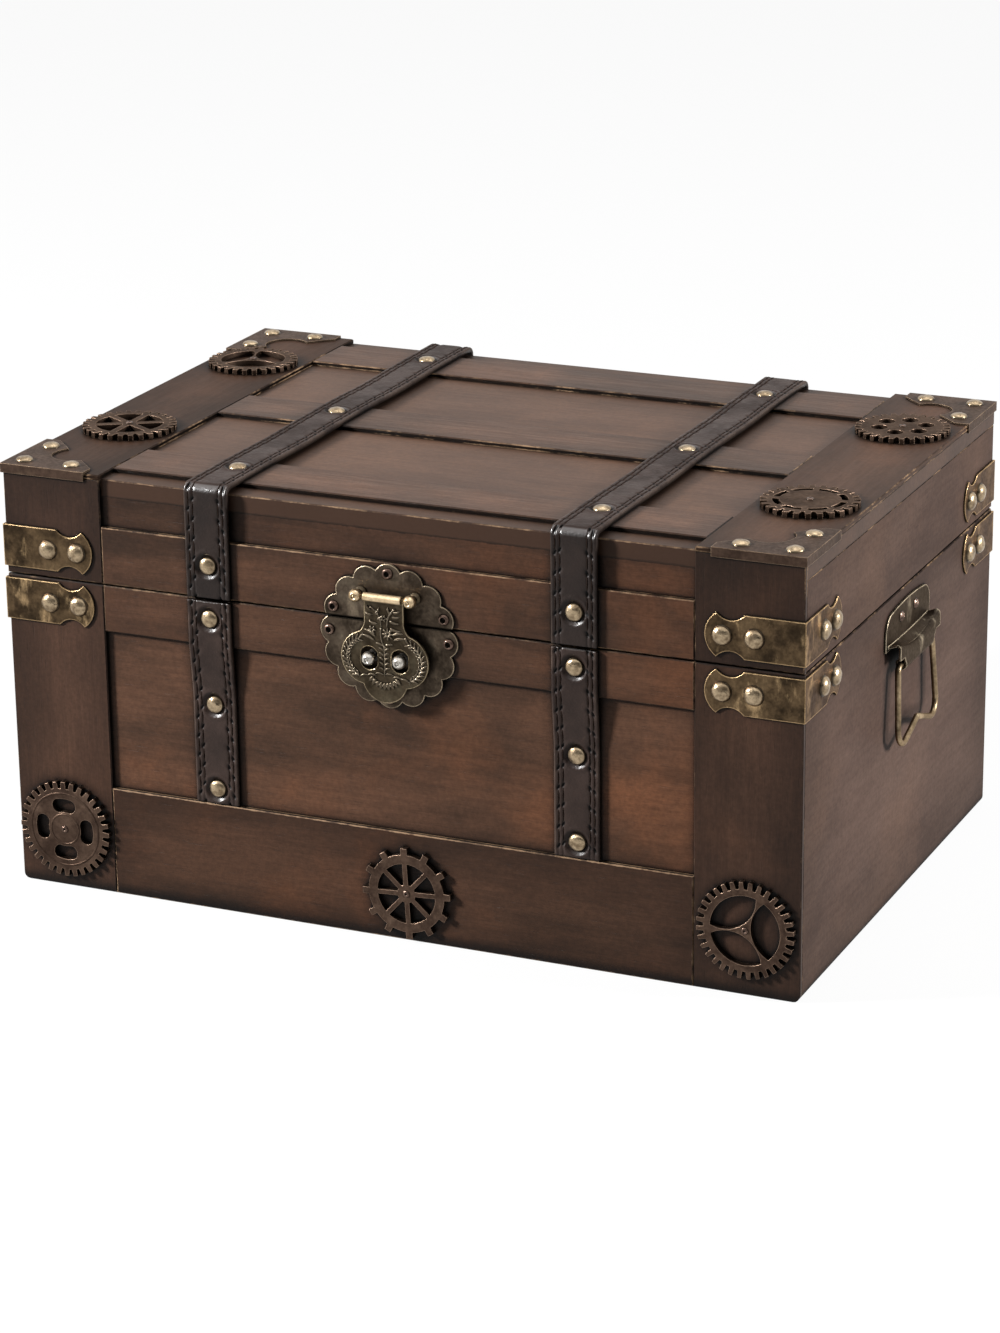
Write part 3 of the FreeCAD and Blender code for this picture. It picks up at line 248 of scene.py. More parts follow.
def wood(node, stain, way):
    """A stained board; way is the axis of its grain."""
    tone, wear = TONE.get(node, 1.0), WEAR.get(node, 1.0)
    figure = CALM_FIGURE if stain in (CORE_STAIN, SIDE_STAIN) or "end_board" in node else 1.0
    lid_top = node == "lid_top_board"
    board = Finish(f"{node}_wood", stain.dark, Specular_IOR_Level=SHEEN.get(node, PLAIN_SHEEN))
    shift = own_shift(node)
    loose = board.moved(shift)
    grain = board.moved(shift, along(way, GRAIN_STRETCH))
    blotch = board.noise(board.moved(shift, along(way, BLOTCH_STRETCH)), 7, 5, 0.6, 0.4)
    mottle = board.noise(loose, 8, 5, 0.62, 0.3)
    streak = board.noise(grain, 30, 5, 0.65)
    fibre = board.noise(grain, 150, 3, 0.6)
    dust = board.noise(loose, 420, 4, 0.7)
    pore = board.span(board.noise(grain, 95, 2), 0.62, 0.72)
    board.cover(stain.middle, blotch, 0.30, 0.66)
    board.cover(stain.warm, mottle, 0.46, 0.72, 0.0, 0.85)
    board.shade(streak, 0.28, 0.74, (1 - 0.13 * figure) * tone, (1 + 0.12 * figure) * tone)
    board.shade(fibre, 0.25, 0.75, 1 - 0.11 * figure, 1 + 0.11 * figure)
    board.shade(dust, 0.30, 0.70, 0.86, 1.14)
    board.blend(board.times(pore, 0.2), PORE_BROWN)

    # Darker towards the borders; painted shade, with grime, in the corners; the top board's front face
    # painted as dark as the trim, as shade
    gap = board.edge_distance(*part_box(node))
    wander = board.span(board.noise(loose, 22, 4), 0.2, 0.8, -BORDER_WANDER, BORDER_WANDER)
    border = WALL_BORDER if node in CORES_DEEP else BOARD_BORDER
    board.shade(board.plus(gap, wander), 0, border, 0.62, 1.0)
    # Painted shade, with grime, in the corners and beside other pieces
    board.shade(board.open_air(SHADE_AND_GRIME_REACH), 0.63, 1.0, 0.22 if lid_top else 0.04, 1.0)
    # Painted shade: the top board's front-facing face darkened towards the trim's dark stain
    if lid_top:
        ahead = board.parts(board.normal())["Y"]
        board.cover(TRIM_STAIN.dark, ahead, -0.9, -0.5, 0.8, 0.0)

    # A dark line at the edges, rubbed bare in places; on the top board only along its upper edges
    nicks = board.span(board.noise(loose, 210, 3, 0.6), 0.2, 0.8, -EDGE_NICK, EDGE_NICK)
    at_edge = board.span(board.plus(gap, nicks), *EDGE_LINE, 1, 0)
    dark_edge = 0.8 if node == "lid_front_wall" else 0.45
    board.blend(board.times(at_edge, dark_edge), PORE_BROWN)
    rubbed = board.span(board.noise(loose, 34, 6, 0.75), 0.62 - 0.16 * wear, 0.80 - 0.16 * wear, 0.0, 0.85)
    if lid_top:
        middle = sum(corner.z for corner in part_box(node)) / 2
        rubbed = board.times(rubbed, board.span(board.parts(board.place)["Z"], middle, middle + 1 * MM))
    if wear:
        board.blend(board.times(at_edge, rubbed), WORN_WOOD)
    scuff = board.noise(board.moved(shift, (30, 4, 30), (0.3, 0.5, 0.7)), 9, 6, 0.75)
    board.cover(WORN_WOOD, scuff, 0.74, 0.82, 0.0, 0.12)
    roughness = board.span(streak, 0.25, 0.75, 0.47 + 0.05 * figure, 0.47 - 0.05 * figure)
    height = board.math("SUBTRACT", board.plus(streak, fibre), pore)
    return board.finish(roughness, board.bump(height, GRAIN_DEPTH * figure ** 2))


def boards():
    stiles = [f"{part}_{side}_stile" for part in ("body", "lid") for side in HANDS]
    end_boards = [f"lid_{side}_end_board" for side in HANDS]
    for group, stain, way in ((PANELS, PANEL_STAIN, "x"), (TOP_SLATS, TOP_STAIN, "x"),
                              (stiles, TRIM_STAIN, "z"), (end_boards, TOP_STAIN, "y"),
                              (CORES_ACROSS, CORE_STAIN, "x"), (CORES_DEEP, SIDE_STAIN, "y")):
        for node in group:
            dress(wood(node, stain, way), node)


# Metal: clouded dark patina, rubbed patches, bright edges and dirt in the corners

Patina = namedtuple("Patina", "dark middle bright")
BRACKET_PATINA = Patina((0.027, 0.018, 0.0105), (0.122, 0.080, 0.043), (0.54, 0.37, 0.195))
LATCH_PATINA = Patina((0.028, 0.0205, 0.0145), (0.090, 0.067, 0.048), (0.46, 0.365, 0.250))
TONGUE_PATINA = Patina((0.027, 0.020, 0.0125), (0.070, 0.053, 0.034), (0.48, 0.38, 0.240))
HANDLE_PATINA = Patina((0.017, 0.013, 0.010), (0.040, 0.031, 0.024), (0.60, 0.50, 0.36))
GEAR_PATINA = Patina((0.042, 0.026, 0.019), (0.092, 0.059, 0.042), (0.26, 0.175, 0.125))
CORNER_PATINA = Patina((0.036, 0.022, 0.0155), (0.064, 0.040, 0.0285), (0.25, 0.175, 0.115))
SCREW_PATINA = Patina((0.026, 0.016, 0.012), (0.070, 0.043, 0.033), (0.16, 0.105, 0.080))
FOLIAGE_PATINA = Patina((0.08, 0.062, 0.042), (0.19, 0.15, 0.105), (0.60, 0.50, 0.37))
BAIL_PATINA = Patina((0.10, 0.072, 0.042), (0.31, 0.228, 0.138), (0.82, 0.66, 0.43))
PIN_PATINA = Patina((0.16, 0.105, 0.052), (0.40, 0.285, 0.160), (0.68, 0.52, 0.33))
NAIL_PATINA = Patina((0.048, 0.032, 0.018), (0.165, 0.117, 0.070), (0.40, 0.305, 0.195))
POST_PATINA = Patina((0.12, 0.095, 0.07), (0.32, 0.285, 0.245), (0.60, 0.565, 0.51))
VERDIGRIS = (0.060, 0.082, 0.060)
METAL_DIRT_AND_SHADE = (0.010, 0.008, 0.006)
# How much light each kind of metal throws back at a glancing angle
PLAIN_TINT = (0.58, 0.55, 0.52)
BRACKET_TINT = (0.90, 0.76, 0.70)
HANDLE_TINT = (0.74, 0.65, 0.57)
DIRT_AND_SHADE_REACH = 5 * MM
SEAM_SHADE = (0.7 * MM, 1.3 * MM)
GILT_BLEND = 0.4 * MM
PATINA_DEPTH = 0.12 * MM


def metal(name, patina, edge, shine, rub=0.4, green=0.0, gilt_above=None, bare=0.92, tint=PLAIN_TINT,
          seam=None):
    """A patinated sheet or casting with edges rounded by a radius.

    Shine is how polished it is, rub how much of it is rubbed bright, green how much verdigris it has.
    Above the height gilt_above it is bright brass; bare is how much metal shows through the lacquer;
    seam is the height of a joint whose edges are painted dark as shade.
    """
    sheet = Finish(name, patina.dark, Metallic=bare, Specular_Tint=tint, Specular_IOR_Level=0.08)
    shift = own_shift(name)
    loose = sheet.moved(shift)
    level = sheet.parts(sheet.place)["Z"]
    cloud = sheet.noise(loose, 75, 5, 0.62)
    speck = sheet.noise(loose, 520, 3, 0.6)
    patch = sheet.noise(sheet.moved(shift, (1.6, 1.6, 0.7)), 48, 6, 0.68)
    sheet.cover(patina.middle, cloud, 0.32, 0.68)
    sheet.cover(patina.bright, patch, 0.54, 0.74, 0.0, rub)
    if gilt_above is not None:
        gilt = sheet.mix(sheet.span(cloud, 0.30, 0.62), PIN_PATINA.middle, PIN_PATINA.bright)
        sheet.cover(gilt, level, gilt_above - GILT_BLEND, gilt_above + GILT_BLEND)
    sheet.shade(speck, 0.25, 0.75, 0.78, 1.20)
    open_air = sheet.open_air(DIRT_AND_SHADE_REACH)
    if green:
        spots = sheet.span(cloud, 0.55, 0.66, 0.0, green)
        spots = sheet.times(spots, sheet.span(open_air, 0.55, 0.9, 1, 0.25))
        sheet.blend(spots, VERDIGRIS)
    sheet.cover(METAL_DIRT_AND_SHADE, open_air, 0.25, 0.92, 0.85, 0)
    normal, at_edge = sheet.rounded(edge)
    worn = sheet.span(sheet.noise(loose, 130, 3), 0.30, 0.55, 0.4, 1.0)
    sheet.blend(sheet.times(at_edge, worn), patina.bright)
    # Painted shade: the edges at the seam darkened as the shadow of the joint
    if seam is not None:
        gap = sheet.math("ABSOLUTE", sheet.math("SUBTRACT", level, seam))
        sheet.cover(METAL_DIRT_AND_SHADE, gap, *SEAM_SHADE, 1, 0)
    roughness = sheet.span(speck, 0.2, 0.8, 0.64 - 0.35 * shine, 0.48 - 0.35 * shine)
    height = sheet.plus(cloud, sheet.times(speck, 0.4))
    return sheet.finish(roughness, sheet.bump(height, PATINA_DEPTH, normal))


BRACKETS = ("body_front_left_bracket", "body_front_right_bracket", "body_back_brackets",
            "lid_front_left_bracket", "lid_front_right_bracket", "lid_back_brackets")
CORNERS = ("front_left", "front_right", "back_left", "back_right")
GEARS = ["front_left_gear", "front_middle_gear", "front_right_gear"] + [f"top_{c}_gear" for c in CORNERS]
# How far the tongue's rolled barrel reaches down, and its radius
BARREL_DEPTH = 4.6 * MM
BARREL_RADIUS = 2.2 * MM


def metalwork():
    for node in BRACKETS:
        dress(metal(f"{node}_brass", BRACKET_PATINA, 0.9 * MM, shine=0.4, rub=0.8, green=0.12,
                    tint=BRACKET_TINT), node)
    for corner in CORNERS:
        node = f"{corner}_corner_protector"
        dress(metal(f"{node}_bronze", CORNER_PATINA, 0.6 * MM, shine=0.3, rub=0.2, bare=0.3), node)
    for node in GEARS:
        dress(metal(f"{node}_copper", GEAR_PATINA, 0.5 * MM, shine=0.3, rub=0.3), node)
    seam = (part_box("latch_base_plate")[1].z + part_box("latch_lid_plate")[0].z) / 2
    dress(metal("latch_bronze", LATCH_PATINA, 0.9 * MM, shine=0.35, rub=0.25, green=0.3, seam=seam),
          "latch_base_plate", "latch_lid_plate")
    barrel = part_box("latch_tongue")[1].z - BARREL_DEPTH
    dress(metal("tongue_bronze", TONGUE_PATINA, 0.9 * MM, shine=0.4, rub=0.2, green=0.3, gilt_above=barrel),
          "latch_tongue")
    dress(metal("latch_pin_brass", PIN_PATINA, 0.4 * MM, shine=0.7, rub=0.3), "latch_pin")
    dress(metal("handle_bronze", HANDLE_PATINA, 0.8 * MM, shine=0.3, rub=0.5, tint=HANDLE_TINT),
          "left_handle_plate", "right_handle_plate")
    dress(metal("bail_brass", BAIL_PATINA, 0.5 * MM, shine=0.6, rub=0.6, tint=HANDLE_TINT),
          "left_bail", "right_bail")
    dress(metal("hinge_brass", BRACKET_PATINA, 0.5 * MM, shine=0.45, rub=0.4),
          "hinge_body_leaves", "hinge_lid_leaves", "hinge_pins")


# Meshes

def link(name, data):
    """Puts a mesh, a lamp or a camera into the scene."""
    item = bpy.data.objects.new(name, data)
    bpy.context.scene.collection.objects.link(item)
    return item


def mesh_object(name, mesh, material):
    data = bpy.data.meshes.new(name)
    mesh.to_mesh(data)
    mesh.free()
    data.materials.append(material)
    return link(name, data)


def new_piece(name, mesh, material, body, replaced=()):
    """Turns a bmesh into a smooth piece that rides on a body."""
    bmesh.ops.recalc_face_normals(mesh, faces=mesh.faces)
    piece = mesh_object(name, mesh, material)
    piece.data.shade_smooth()
    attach(piece, body)
    if replaced:
        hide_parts(*replaced)


def solids_of(node):
    """The points of each separate solid in a CAD node."""
    mesh = bmesh.new()
    mesh.from_mesh(nodes[node].data)
    bmesh.ops.remove_doubles(mesh, verts=mesh.verts, dist=WELD)
    mesh.verts.index_update()
    seen = set()
    solids = []
    for first in mesh.verts:
        waiting, points = [first], []
        while waiting:
            corner = waiting.pop()
            if corner.index not in seen:
                seen.add(corner.index)
                points.append(corner.co.copy())
                waiting += [edge.other_vert(corner) for edge in corner.link_edges]
        if points:
            solids.append(points)
    mesh.free()
    return solids


def corners_of(points):
    """The lowest and the highest corner of the box round some points."""
    return [Vector([pick(point[axis] for point in points) for axis in range(3)]) for pick in (min, max)]


Fastener = namedtuple("Fastener", "seat out radius dome")
RIM_SHARE = 0.97


def fasteners(node):
    """Where each nail or screw of a CAD node sits, which way it points and how large its head is."""
    found = []
    for points in solids_of(node):
        low, high = corners_of(points)
        size = high - low
        axis = max(range(3), key=lambda number: size[number])
        across = [number for number in range(3) if number != axis]
        seat = (low + high) / 2
        radius = max(size[number] for number in across) / 2
        rim = [point[axis] for point in points
               if math.hypot(*(point[n] - seat[n] for n in across)) > RIM_SHARE * radius]
        seat[axis] = sum(rim) / len(rim)
        above = high[axis] - seat[axis]
        below = seat[axis] - low[axis]
        out = Vector((0, 0, 0))
        out[axis] = 1 if above < below else -1
        found.append(Fastener(seat, out, radius, min(above, below)))
    return found


def facing(seat, out, turn=0.0):
    """The placement that stands a turned piece on its seat, pointing out."""
    stand = Vector((0, 0, 1)).rotation_difference(out).to_matrix().to_4x4()
    return Matrix.Translation(seat) @ stand @ Matrix.Rotation(turn, 4, "Z")


def smooth(low, high, value):
    share = min(1, max(0, (value - low) / (high - low)))
    return share * share * (3 - 2 * share)


def circle(count):
    """Points round a circle of radius one."""
    turns = [2 * math.pi * step / count for step in range(count)]
    return [(math.cos(turn), math.sin(turn)) for turn in turns]


def skin(mesh, rings):
    """Joins each ring of corners to the next; the first ring may be a single corner."""
    for inner, outer in zip(rings, rings[1:]):
        for step in range(len(outer)):
            following = (step + 1) % len(outer)
            if len(inner) == 1:
                mesh.faces.new((inner[0], outer[step], outer[following]))
            else:
                mesh.faces.new((inner[step], outer[step], outer[following], inner[following]))


def closed_skin(mesh, rings):
    skin(mesh, rings)
    mesh.faces.new(rings[0])
    mesh.faces.new(rings[-1])


def stained_mesh():
    """An empty mesh whose corners carry how tarnished they are."""
    mesh = bmesh.new()
    mesh.verts.layers.float.new("stain")
    return mesh


DENT_SIZE = 2.6 * MM
SLOT_HALF = 0.42 * MM


def lathe(mesh, profile, place, segments, dent=0.0, slot=0.0):
    """Turns rows of radius, height and tarnish, from the middle out.

    Dent is how rough it is, slot the depth of a cut across its top.
    """
    layer = mesh.verts.layers.float.get("stain")
    rings = []
    for number, (radius, height, stain) in enumerate(profile):
        ring = []
        for cos, sin in circle(segments if radius > 0 else 1):
            local = Vector((radius * cos, radius * sin, height))
            if dent:
                roughness = dent * min(1, 2 * number / len(profile) + 0.5)
                local += Vector((0, 0, noise.noise(place @ local / DENT_SIZE) * roughness))
            in_slot = 0.0
            if slot and height >= 0:
                in_slot = 1 - smooth(SLOT_HALF * 0.7, SLOT_HALF * 1.3, abs(radius * cos))
                local.z = max(height - slot * in_slot, 0.0)
            corner = mesh.verts.new(place @ local)
            if layer is not None:
                corner[layer] = max(stain, 1.4 * in_slot)
            ring.append(corner)
        rings.append(ring)
    skin(mesh, rings)


# Leather straps: a crowned strip with two sewn grooves along each edge, dished round its nails

STRAP_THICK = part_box("lid_left_strap")[1].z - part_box("lid_middle_top_slat")[1].z
STRAP_EDGE = 0.9 * MM
STRAP_CROWN = 0.12 * MM
STRAP_BEND = 2.5 * MM
STRAP_SLOPE = 26 * MM
STEP_BEND = 60 * MM
STRAP_STEP = 0.75 * MM
STRAP_SAG = 0.6 * MM
RIPPLE = 0.14 * MM
RIPPLE_SIZE = 14 * MM
# Two rows of slanting slits run along each edge; thread lies in a shallow groove from slit to slit
STITCH_ROWS = (2.5 * MM, 5.0 * MM)
ROW_DEPTH = 0.25 * MM
ROW_WIDTH = 0.5 * MM
STITCH_PITCH = 10.4 * MM
STITCH_LENGTH = 8.2 * MM
STITCH_STEPS = 10
THREAD_RADIUS = 0.40 * MM
THREAD_SIDES = 6
SLIT_DEPTH = 0.9 * MM
SLIT_LENGTH = 1.5 * MM
SLIT_WIDTH = 0.75 * MM
SLIT_SLANT = 0.45
# How far the inner row is ahead of the outer one, as a share of the pitch
STAGGER = {"left": 0.5, "right": 0.14}
NAIL_SINK = 1.1 * MM
DISH_INNER = 4.9 * MM
DISH_OUTER = 7.4 * MM
DISH_RIM = 0.4 * MM
DISH_RIM_WIDTH = 1.2 * MM
# Where the strip's section is sampled, from its edge in
SECTION_STEPS = [step * MM for step in (
    0, 0.07, 0.26, 0.54, 0.9, 1.4, 1.85, 2.2, 2.5, 2.8, 3.15, 3.6, 4.0, 4.4, 4.7, 5.0, 5.3, 5.6, 6.1, 7.2,
    8.4, 9.6, 10.8)]


def rounded_path(corners, bend, step):
    """Points along a line in the YZ plane whose inner corners are rounded, each with its outward normal."""
    path = []

    def run(begin, end):
        pieces = max(1, round((end - begin).length / step))
        path.extend(begin.lerp(end, piece / pieces) for piece in range(pieces))

    start = corners[0]
    for before, corner, after in zip(corners, corners[1:], corners[2:]):
        back = (before - corner).normalized()
        on = (after - corner).normalized()
        half = back.angle(on) / 2
        begin = corner + back * (bend / math.tan(half))
        end = corner + on * (bend / math.tan(half))
        centre = corner + (back + on).normalized() * (bend / math.sin(half))
        run(start, begin)
        spoke = begin - centre
        first = math.atan2(spoke.y, spoke.x)
        sweep = -spoke.angle_signed(end - centre)
        pieces = max(6, round((end - begin).length / step))
        for piece in range(pieces):
            angle = first + sweep * piece / pieces
            path.append(centre + Vector((math.cos(angle), math.sin(angle))) * spoke.length)
        start = end
    run(start, corners[-1])
    path.append(corners[-1])
    normals = []
    for number in range(len(path)):
        way = path[min(number + 1, len(path) - 1)] - path[max(number - 1, 0)]
        normals.append(Vector((-way.y, way.x)).normalized())
    return path, normals


class Strap:
    """Half a strap, on the lid or the body: its surface by the length along it and the place across it."""

    def __init__(self, body, side, line, bend, sags=()):
        self.body = body
        self.node = f"{body}_{side}_strap"
        low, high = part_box(self.node)
        self.middle = (low.x + high.x) / 2
        self.half = (high.x - low.x) / 2
        self.nails = [nail.seat for nail in fasteners(f"{body}_nails") if low.x < nail.seat.x < high.x]
        self.stagger = STAGGER[side]
        self.sags = sags
        self.path, self.normals = rounded_path([Vector(corner) for corner in line], bend, STRAP_STEP)
        self.lengths = [0.0]
        for before, after in zip(self.path, self.path[1:]):
            self.lengths.append(self.lengths[-1] + (after - before).length)

    def at(self, length):
        """The inner point and the outward normal at a length along the strap."""
        number = min(bisect.bisect_left(self.lengths, length, 1), len(self.path) - 1) - 1
        share = (length - self.lengths[number]) / (self.lengths[number + 1] - self.lengths[number])
        point = self.path[number].lerp(self.path[number + 1], share)
        normal = self.normals[number].lerp(self.normals[number + 1], share).normalized()
        return point, normal

    def raised(self, point, normal, across, height):
        return Vector((self.middle + across, point.x + normal.x * height, point.y + normal.y * height))

    def sag(self, point, normal):
        """How far the strap hangs down between two slats of the top."""
        for begin, end in self.sags:
            if normal.y > 0.5 and begin < point.x < end:
                return STRAP_SAG * math.sin(math.pi * (point.x - begin) / (end - begin)) ** 2
        return 0.0

    def section(self, inset):
        """The strip's height at a distance in from its edge."""
        height = STRAP_THICK
        if inset < STRAP_EDGE:
            height -= STRAP_EDGE - math.sqrt(STRAP_EDGE ** 2 - (STRAP_EDGE - inset) ** 2)
        for row in STITCH_ROWS:
            height -= ROW_DEPTH * math.exp(-((inset - row) / ROW_WIDTH) ** 2)
        return height - STRAP_CROWN * smooth(STITCH_ROWS[0], STITCH_ROWS[1], inset)

    def first_slit(self, number):
        """How far along the strap a row's first slit lies."""
        return STITCH_PITCH * (0.5 + self.stagger * number)

    def slit(self, length, across):
        """One in the middle of a slit, falling to zero round it."""
        inset = self.half - abs(across)
        deepest = 0.0
        for number, row in enumerate(STITCH_ROWS):
            turns = (length - self.first_slit(number)) / STITCH_PITCH
            ahead = (turns - round(turns)) * STITCH_PITCH
            aside = inset - row - SLIT_SLANT * ahead
            deepest = max(deepest, math.exp(-(ahead / SLIT_LENGTH) ** 2 - (aside / SLIT_WIDTH) ** 2))
        return deepest

    def surface(self, length, across, lift=0.0):
        """A point on the outer surface, lowered where the strap sags and round each nail."""
        point, normal = self.at(length)
        height = self.section(self.half - abs(across)) - SLIT_DEPTH * self.slit(length, across) + lift
        flat = self.raised(point, normal, across, STRAP_THICK)
        for nail in self.nails:
            gap = (flat - nail).length
            height -= NAIL_SINK * (1 - smooth(DISH_INNER, DISH_OUTER, gap))
            height += DISH_RIM * math.exp(-((gap - DISH_OUTER) / DISH_RIM_WIDTH) ** 2)
        height += RIPPLE * noise.noise(flat / RIPPLE_SIZE)
        return self.raised(point, normal, across, height - self.sag(point, normal))

    def under(self, length, across):
        point, normal = self.at(length)
        return self.raised(point, normal, across, -self.sag(point, normal))


def strap_mesh(strap):
    mesh = bmesh.new()
    slit_layer = mesh.verts.layers.float.new("slit")
    inset_layer = mesh.verts.layers.float.new("inset")
    insets = SECTION_STEPS + [strap.half]
    offsets = [inset - strap.half for inset in insets] + [strap.half - inset for inset in insets[-2::-1]]
    rows = []
    for length in strap.lengths:
        row = [mesh.verts.new(strap.under(length, -strap.half))]
        row += [mesh.verts.new(strap.surface(length, across)) for across in offsets]
        row.append(mesh.verts.new(strap.under(length, strap.half)))
        for corner, across in zip(row, [-strap.half] + offsets + [strap.half]):
            corner[slit_layer] = strap.slit(length, across)
            corner[inset_layer] = strap.half - abs(across)
        rows.append(row)
    closed_skin(mesh, rows)
    return mesh


def stitch_ring(mesh, strap, across, begin, share):
    """The thread's section at a share of a stitch: thinner and deeper towards the stitch's ends."""
    arch = math.sin(math.pi * share)
    length = begin + STITCH_LENGTH * share
    radius = THREAD_RADIUS * (0.6 + 0.4 * arch)
    middle = strap.surface(length, across, (0.45 * arch ** 0.5 - 0.35) * MM)
    normal = strap.at(length)[1]
    up = Vector((0, normal.x, normal.y))
    return [mesh.verts.new(middle + (Vector((cos, 0, 0)) + up * sin) * radius)
            for cos, sin in circle(THREAD_SIDES)]


def stitch_mesh(strap):
    """The rows of thread: stitches that lie in the grooves and dive into a slit at each end."""
    mesh = bmesh.new()
    for side in SIDES:
        for number, inset in enumerate(STITCH_ROWS):
            across = side * (strap.half - inset)
            begin = strap.first_slit(number) + (STITCH_PITCH - STITCH_LENGTH) / 2
            while begin + STITCH_LENGTH < strap.lengths[-1] - STRAP_EDGE:
                closed_skin(mesh, [stitch_ring(mesh, strap, across, begin, step / STITCH_STEPS)
                                   for step in range(STITCH_STEPS + 1)])
                begin += STITCH_PITCH
    return mesh


LEATHER_DARK = (0.0230, 0.0145, 0.0118)
LEATHER_BROWN = (0.041, 0.0262, 0.0212)
LEATHER_CREASE = (0.060, 0.038, 0.028)
LEATHER_RUBBED = (0.095, 0.066, 0.050)
SLIT_SHADE = (0.002, 0.0014, 0.0012)
LEATHER_DEPTH = 0.16 * MM
THREAD_DARK = (0.012, 0.0075, 0.0060)
THREAD_BROWN = (0.040, 0.0260, 0.0200)
THREAD_DEPTH = 0.08 * MM


def leather():
    """Waxed dark leather: pebbled grain, creases, rubbed edges, painted shade in its slits and round its
    nails, and a burnish where it folds.
    """
    hide = Finish("strap_leather", LEATHER_DARK)
    slit = hide.carried("slit")
    pebble = hide.add("TexVoronoi", {"Vector": hide.place, "Scale": 900}, feature="SMOOTH_F1")
    crease = hide.noise(hide.place, 190, 6, 0.7, 0.8)
    bloom = hide.noise(hide.place, 42, 4, 0.6)
    hide.cover(LEATHER_BROWN, bloom, 0.35, 0.68)
    hide.cover(LEATHER_CREASE, crease, 0.60, 0.72, 0.0, 0.4)
    edge = hide.span(hide.carried("inset"), 0.2 * MM, 1.5 * MM, 0.55, 0)
    hide.blend(hide.times(edge, hide.span(bloom, 0.35, 0.6)), LEATHER_RUBBED)
    # Painted shade round the nails and beside other pieces
    hide.shade(hide.open_air(DIRT_AND_SHADE_REACH), 0.35, 0.95, 0.12, 1.0)
    # Slits painted near black, as the shade inside them
    hide.cover(SLIT_SHADE, slit, 0.25, 0.6)

    # Burnished where it turns from upright to flat, most at the fold onto the lid
    seam, fold = (corner.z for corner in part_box("lid_left_strap"))
    level = hide.parts(hide.place)["Z"]
    aside, _, up = hide.parts(hide.normal())
    burnish = hide.times(hide.span(up, 0.12, 0.45), hide.span(up, 0.80, 0.95, 1, 0))
    burnish = hide.times(burnish, hide.span(hide.math("ABSOLUTE", aside), 0.2, 0.5, 1, 0))
    burnish = hide.times(burnish, hide.span(level, fold - 10 * MM, fold - 6 * MM, 0.35, 1.0))
    shine = hide.plus(burnish, hide.span(up, 0.10, 0.40, 0.15, 0.05))

    # Blacker on the lid's front, above the seam
    blacked = hide.times(hide.span(up, 0.3, 0.7, 1, 0), hide.span(level, seam - 1 * MM, seam + 1 * MM))
    hide.shade(blacked, 0, 1, 1.0, 0.55)
    shine = hide.plus(shine, hide.times(blacked, 0.03))
    hide.feed(hide.shader.inputs["Specular IOR Level"], shine)
    roughness = hide.span(hide.plus(bloom, crease), 0.75, 1.25, 0.48, 0.34)
    roughness = hide.math("SUBTRACT", roughness, hide.times(burnish, 0.12))
    roughness = hide.plus(roughness, hide.times(slit, 0.4))
    height = hide.plus(hide.times(pebble.outputs["Distance"], 0.6), crease)
    return hide.finish(roughness, hide.bump(height, LEATHER_DEPTH))


def thread():
    """Waxed brown thread, twisted."""
    cord = Finish("strap_thread", THREAD_DARK, Specular_IOR_Level=0.01)
    slanted = cord.moved((0, 0, 0), turn=(0.6, 0.6, 0.6))
    twist = cord.add("TexWave", {"Vector": slanted, "Scale": 900, "Distortion": 1.5}).outputs["Fac"]
    cord.blend(twist, THREAD_BROWN)
    return cord.finish(cord.span(twist, 0, 1, 0.7, 0.5), cord.bump(twist, THREAD_DEPTH))


def straps():
    hide, cord = leather(), thread()
    seam_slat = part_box("body_seam_slat")[0]
    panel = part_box("body_front_wall")[0].y
    slats = [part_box(node) for node in TOP_SLATS]
    sags = [(before[1].y, after[0].y) for before, after in zip(slats, slats[1:])]
    for side in HANDS:
        low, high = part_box(f"lid_{side}_strap")
        tail = min(corner.co.z for corner in nodes[f"lid_{side}_strap"].data.vertices if corner.co.y > 0)
        front, top, back = low.y + STRAP_THICK, high.z - STRAP_THICK, high.y - STRAP_THICK
        over_lid = ((front, low.z), (front, top), (back, top), (back, tail))
        low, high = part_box(f"body_{side}_strap")
        down_front = ((panel, low.z), (panel, seam_slat.z - STRAP_SLOPE), (seam_slat.y, seam_slat.z),
                      (seam_slat.y, high.z))
        for strap in (Strap("lid", side, over_lid, STRAP_BEND, sags),
                      Strap("body", side, down_front, STEP_BEND)):
            new_piece(f"{strap.node}_leather", strap_mesh(strap), hide, strap.body,
                      (strap.node,))
            new_piece(f"{strap.node}_stitches", stitch_mesh(strap), cord, strap.body)


# Nails and screws: hammered domes, eyelet screws on the latch, slotted screws on hinges and handles

NAIL_DENT = 0.22 * MM
NAIL_SEGMENTS = 36
NAIL_TILT = 0.05
NAIL_SKIRT = 0.4 * MM
DOME_STEPS = 9
HAMMER_DEPTH = 0.25 * MM
# How wide and how high a nail in a strap is, against the others
STRAP_NAIL_WIDTH = 0.92
STRAP_NAIL_HEIGHT = 0.78


def nail_finish(name, patina, rim):
    """Hammered brass, tarnished towards the rim and in its dents; rim is how dark it gets."""
    brass = Finish(name, patina.middle, Metallic=0.95)
    cloud = brass.noise(brass.place, 260, 4, 0.6)
    speck = brass.noise(brass.place, 1100, 3, 0.6)
    spots = brass.noise(brass.place, 330, 3, 0.7, 0.6)
    brass.cover(patina.bright, cloud, 0.30, 0.62)
    brass.cover(patina.dark, spots, 0.60, 0.70, 0.0, 0.75)
    tarnish = brass.plus(brass.carried("stain"), brass.span(cloud, 0.2, 0.8, -0.18, 0.18))
    brass.cover(METAL_DIRT_AND_SHADE, tarnish, 0.25, 0.95, 0.0, rim)
    brass.shade(speck, 0.25, 0.75, 0.85, 1.12)
    roughness = brass.span(cloud, 0.25, 0.75, 0.40, 0.24)
    height = brass.plus(cloud, brass.times(speck, 0.3))
    return brass.finish(roughness, brass.bump(height, HAMMER_DEPTH))


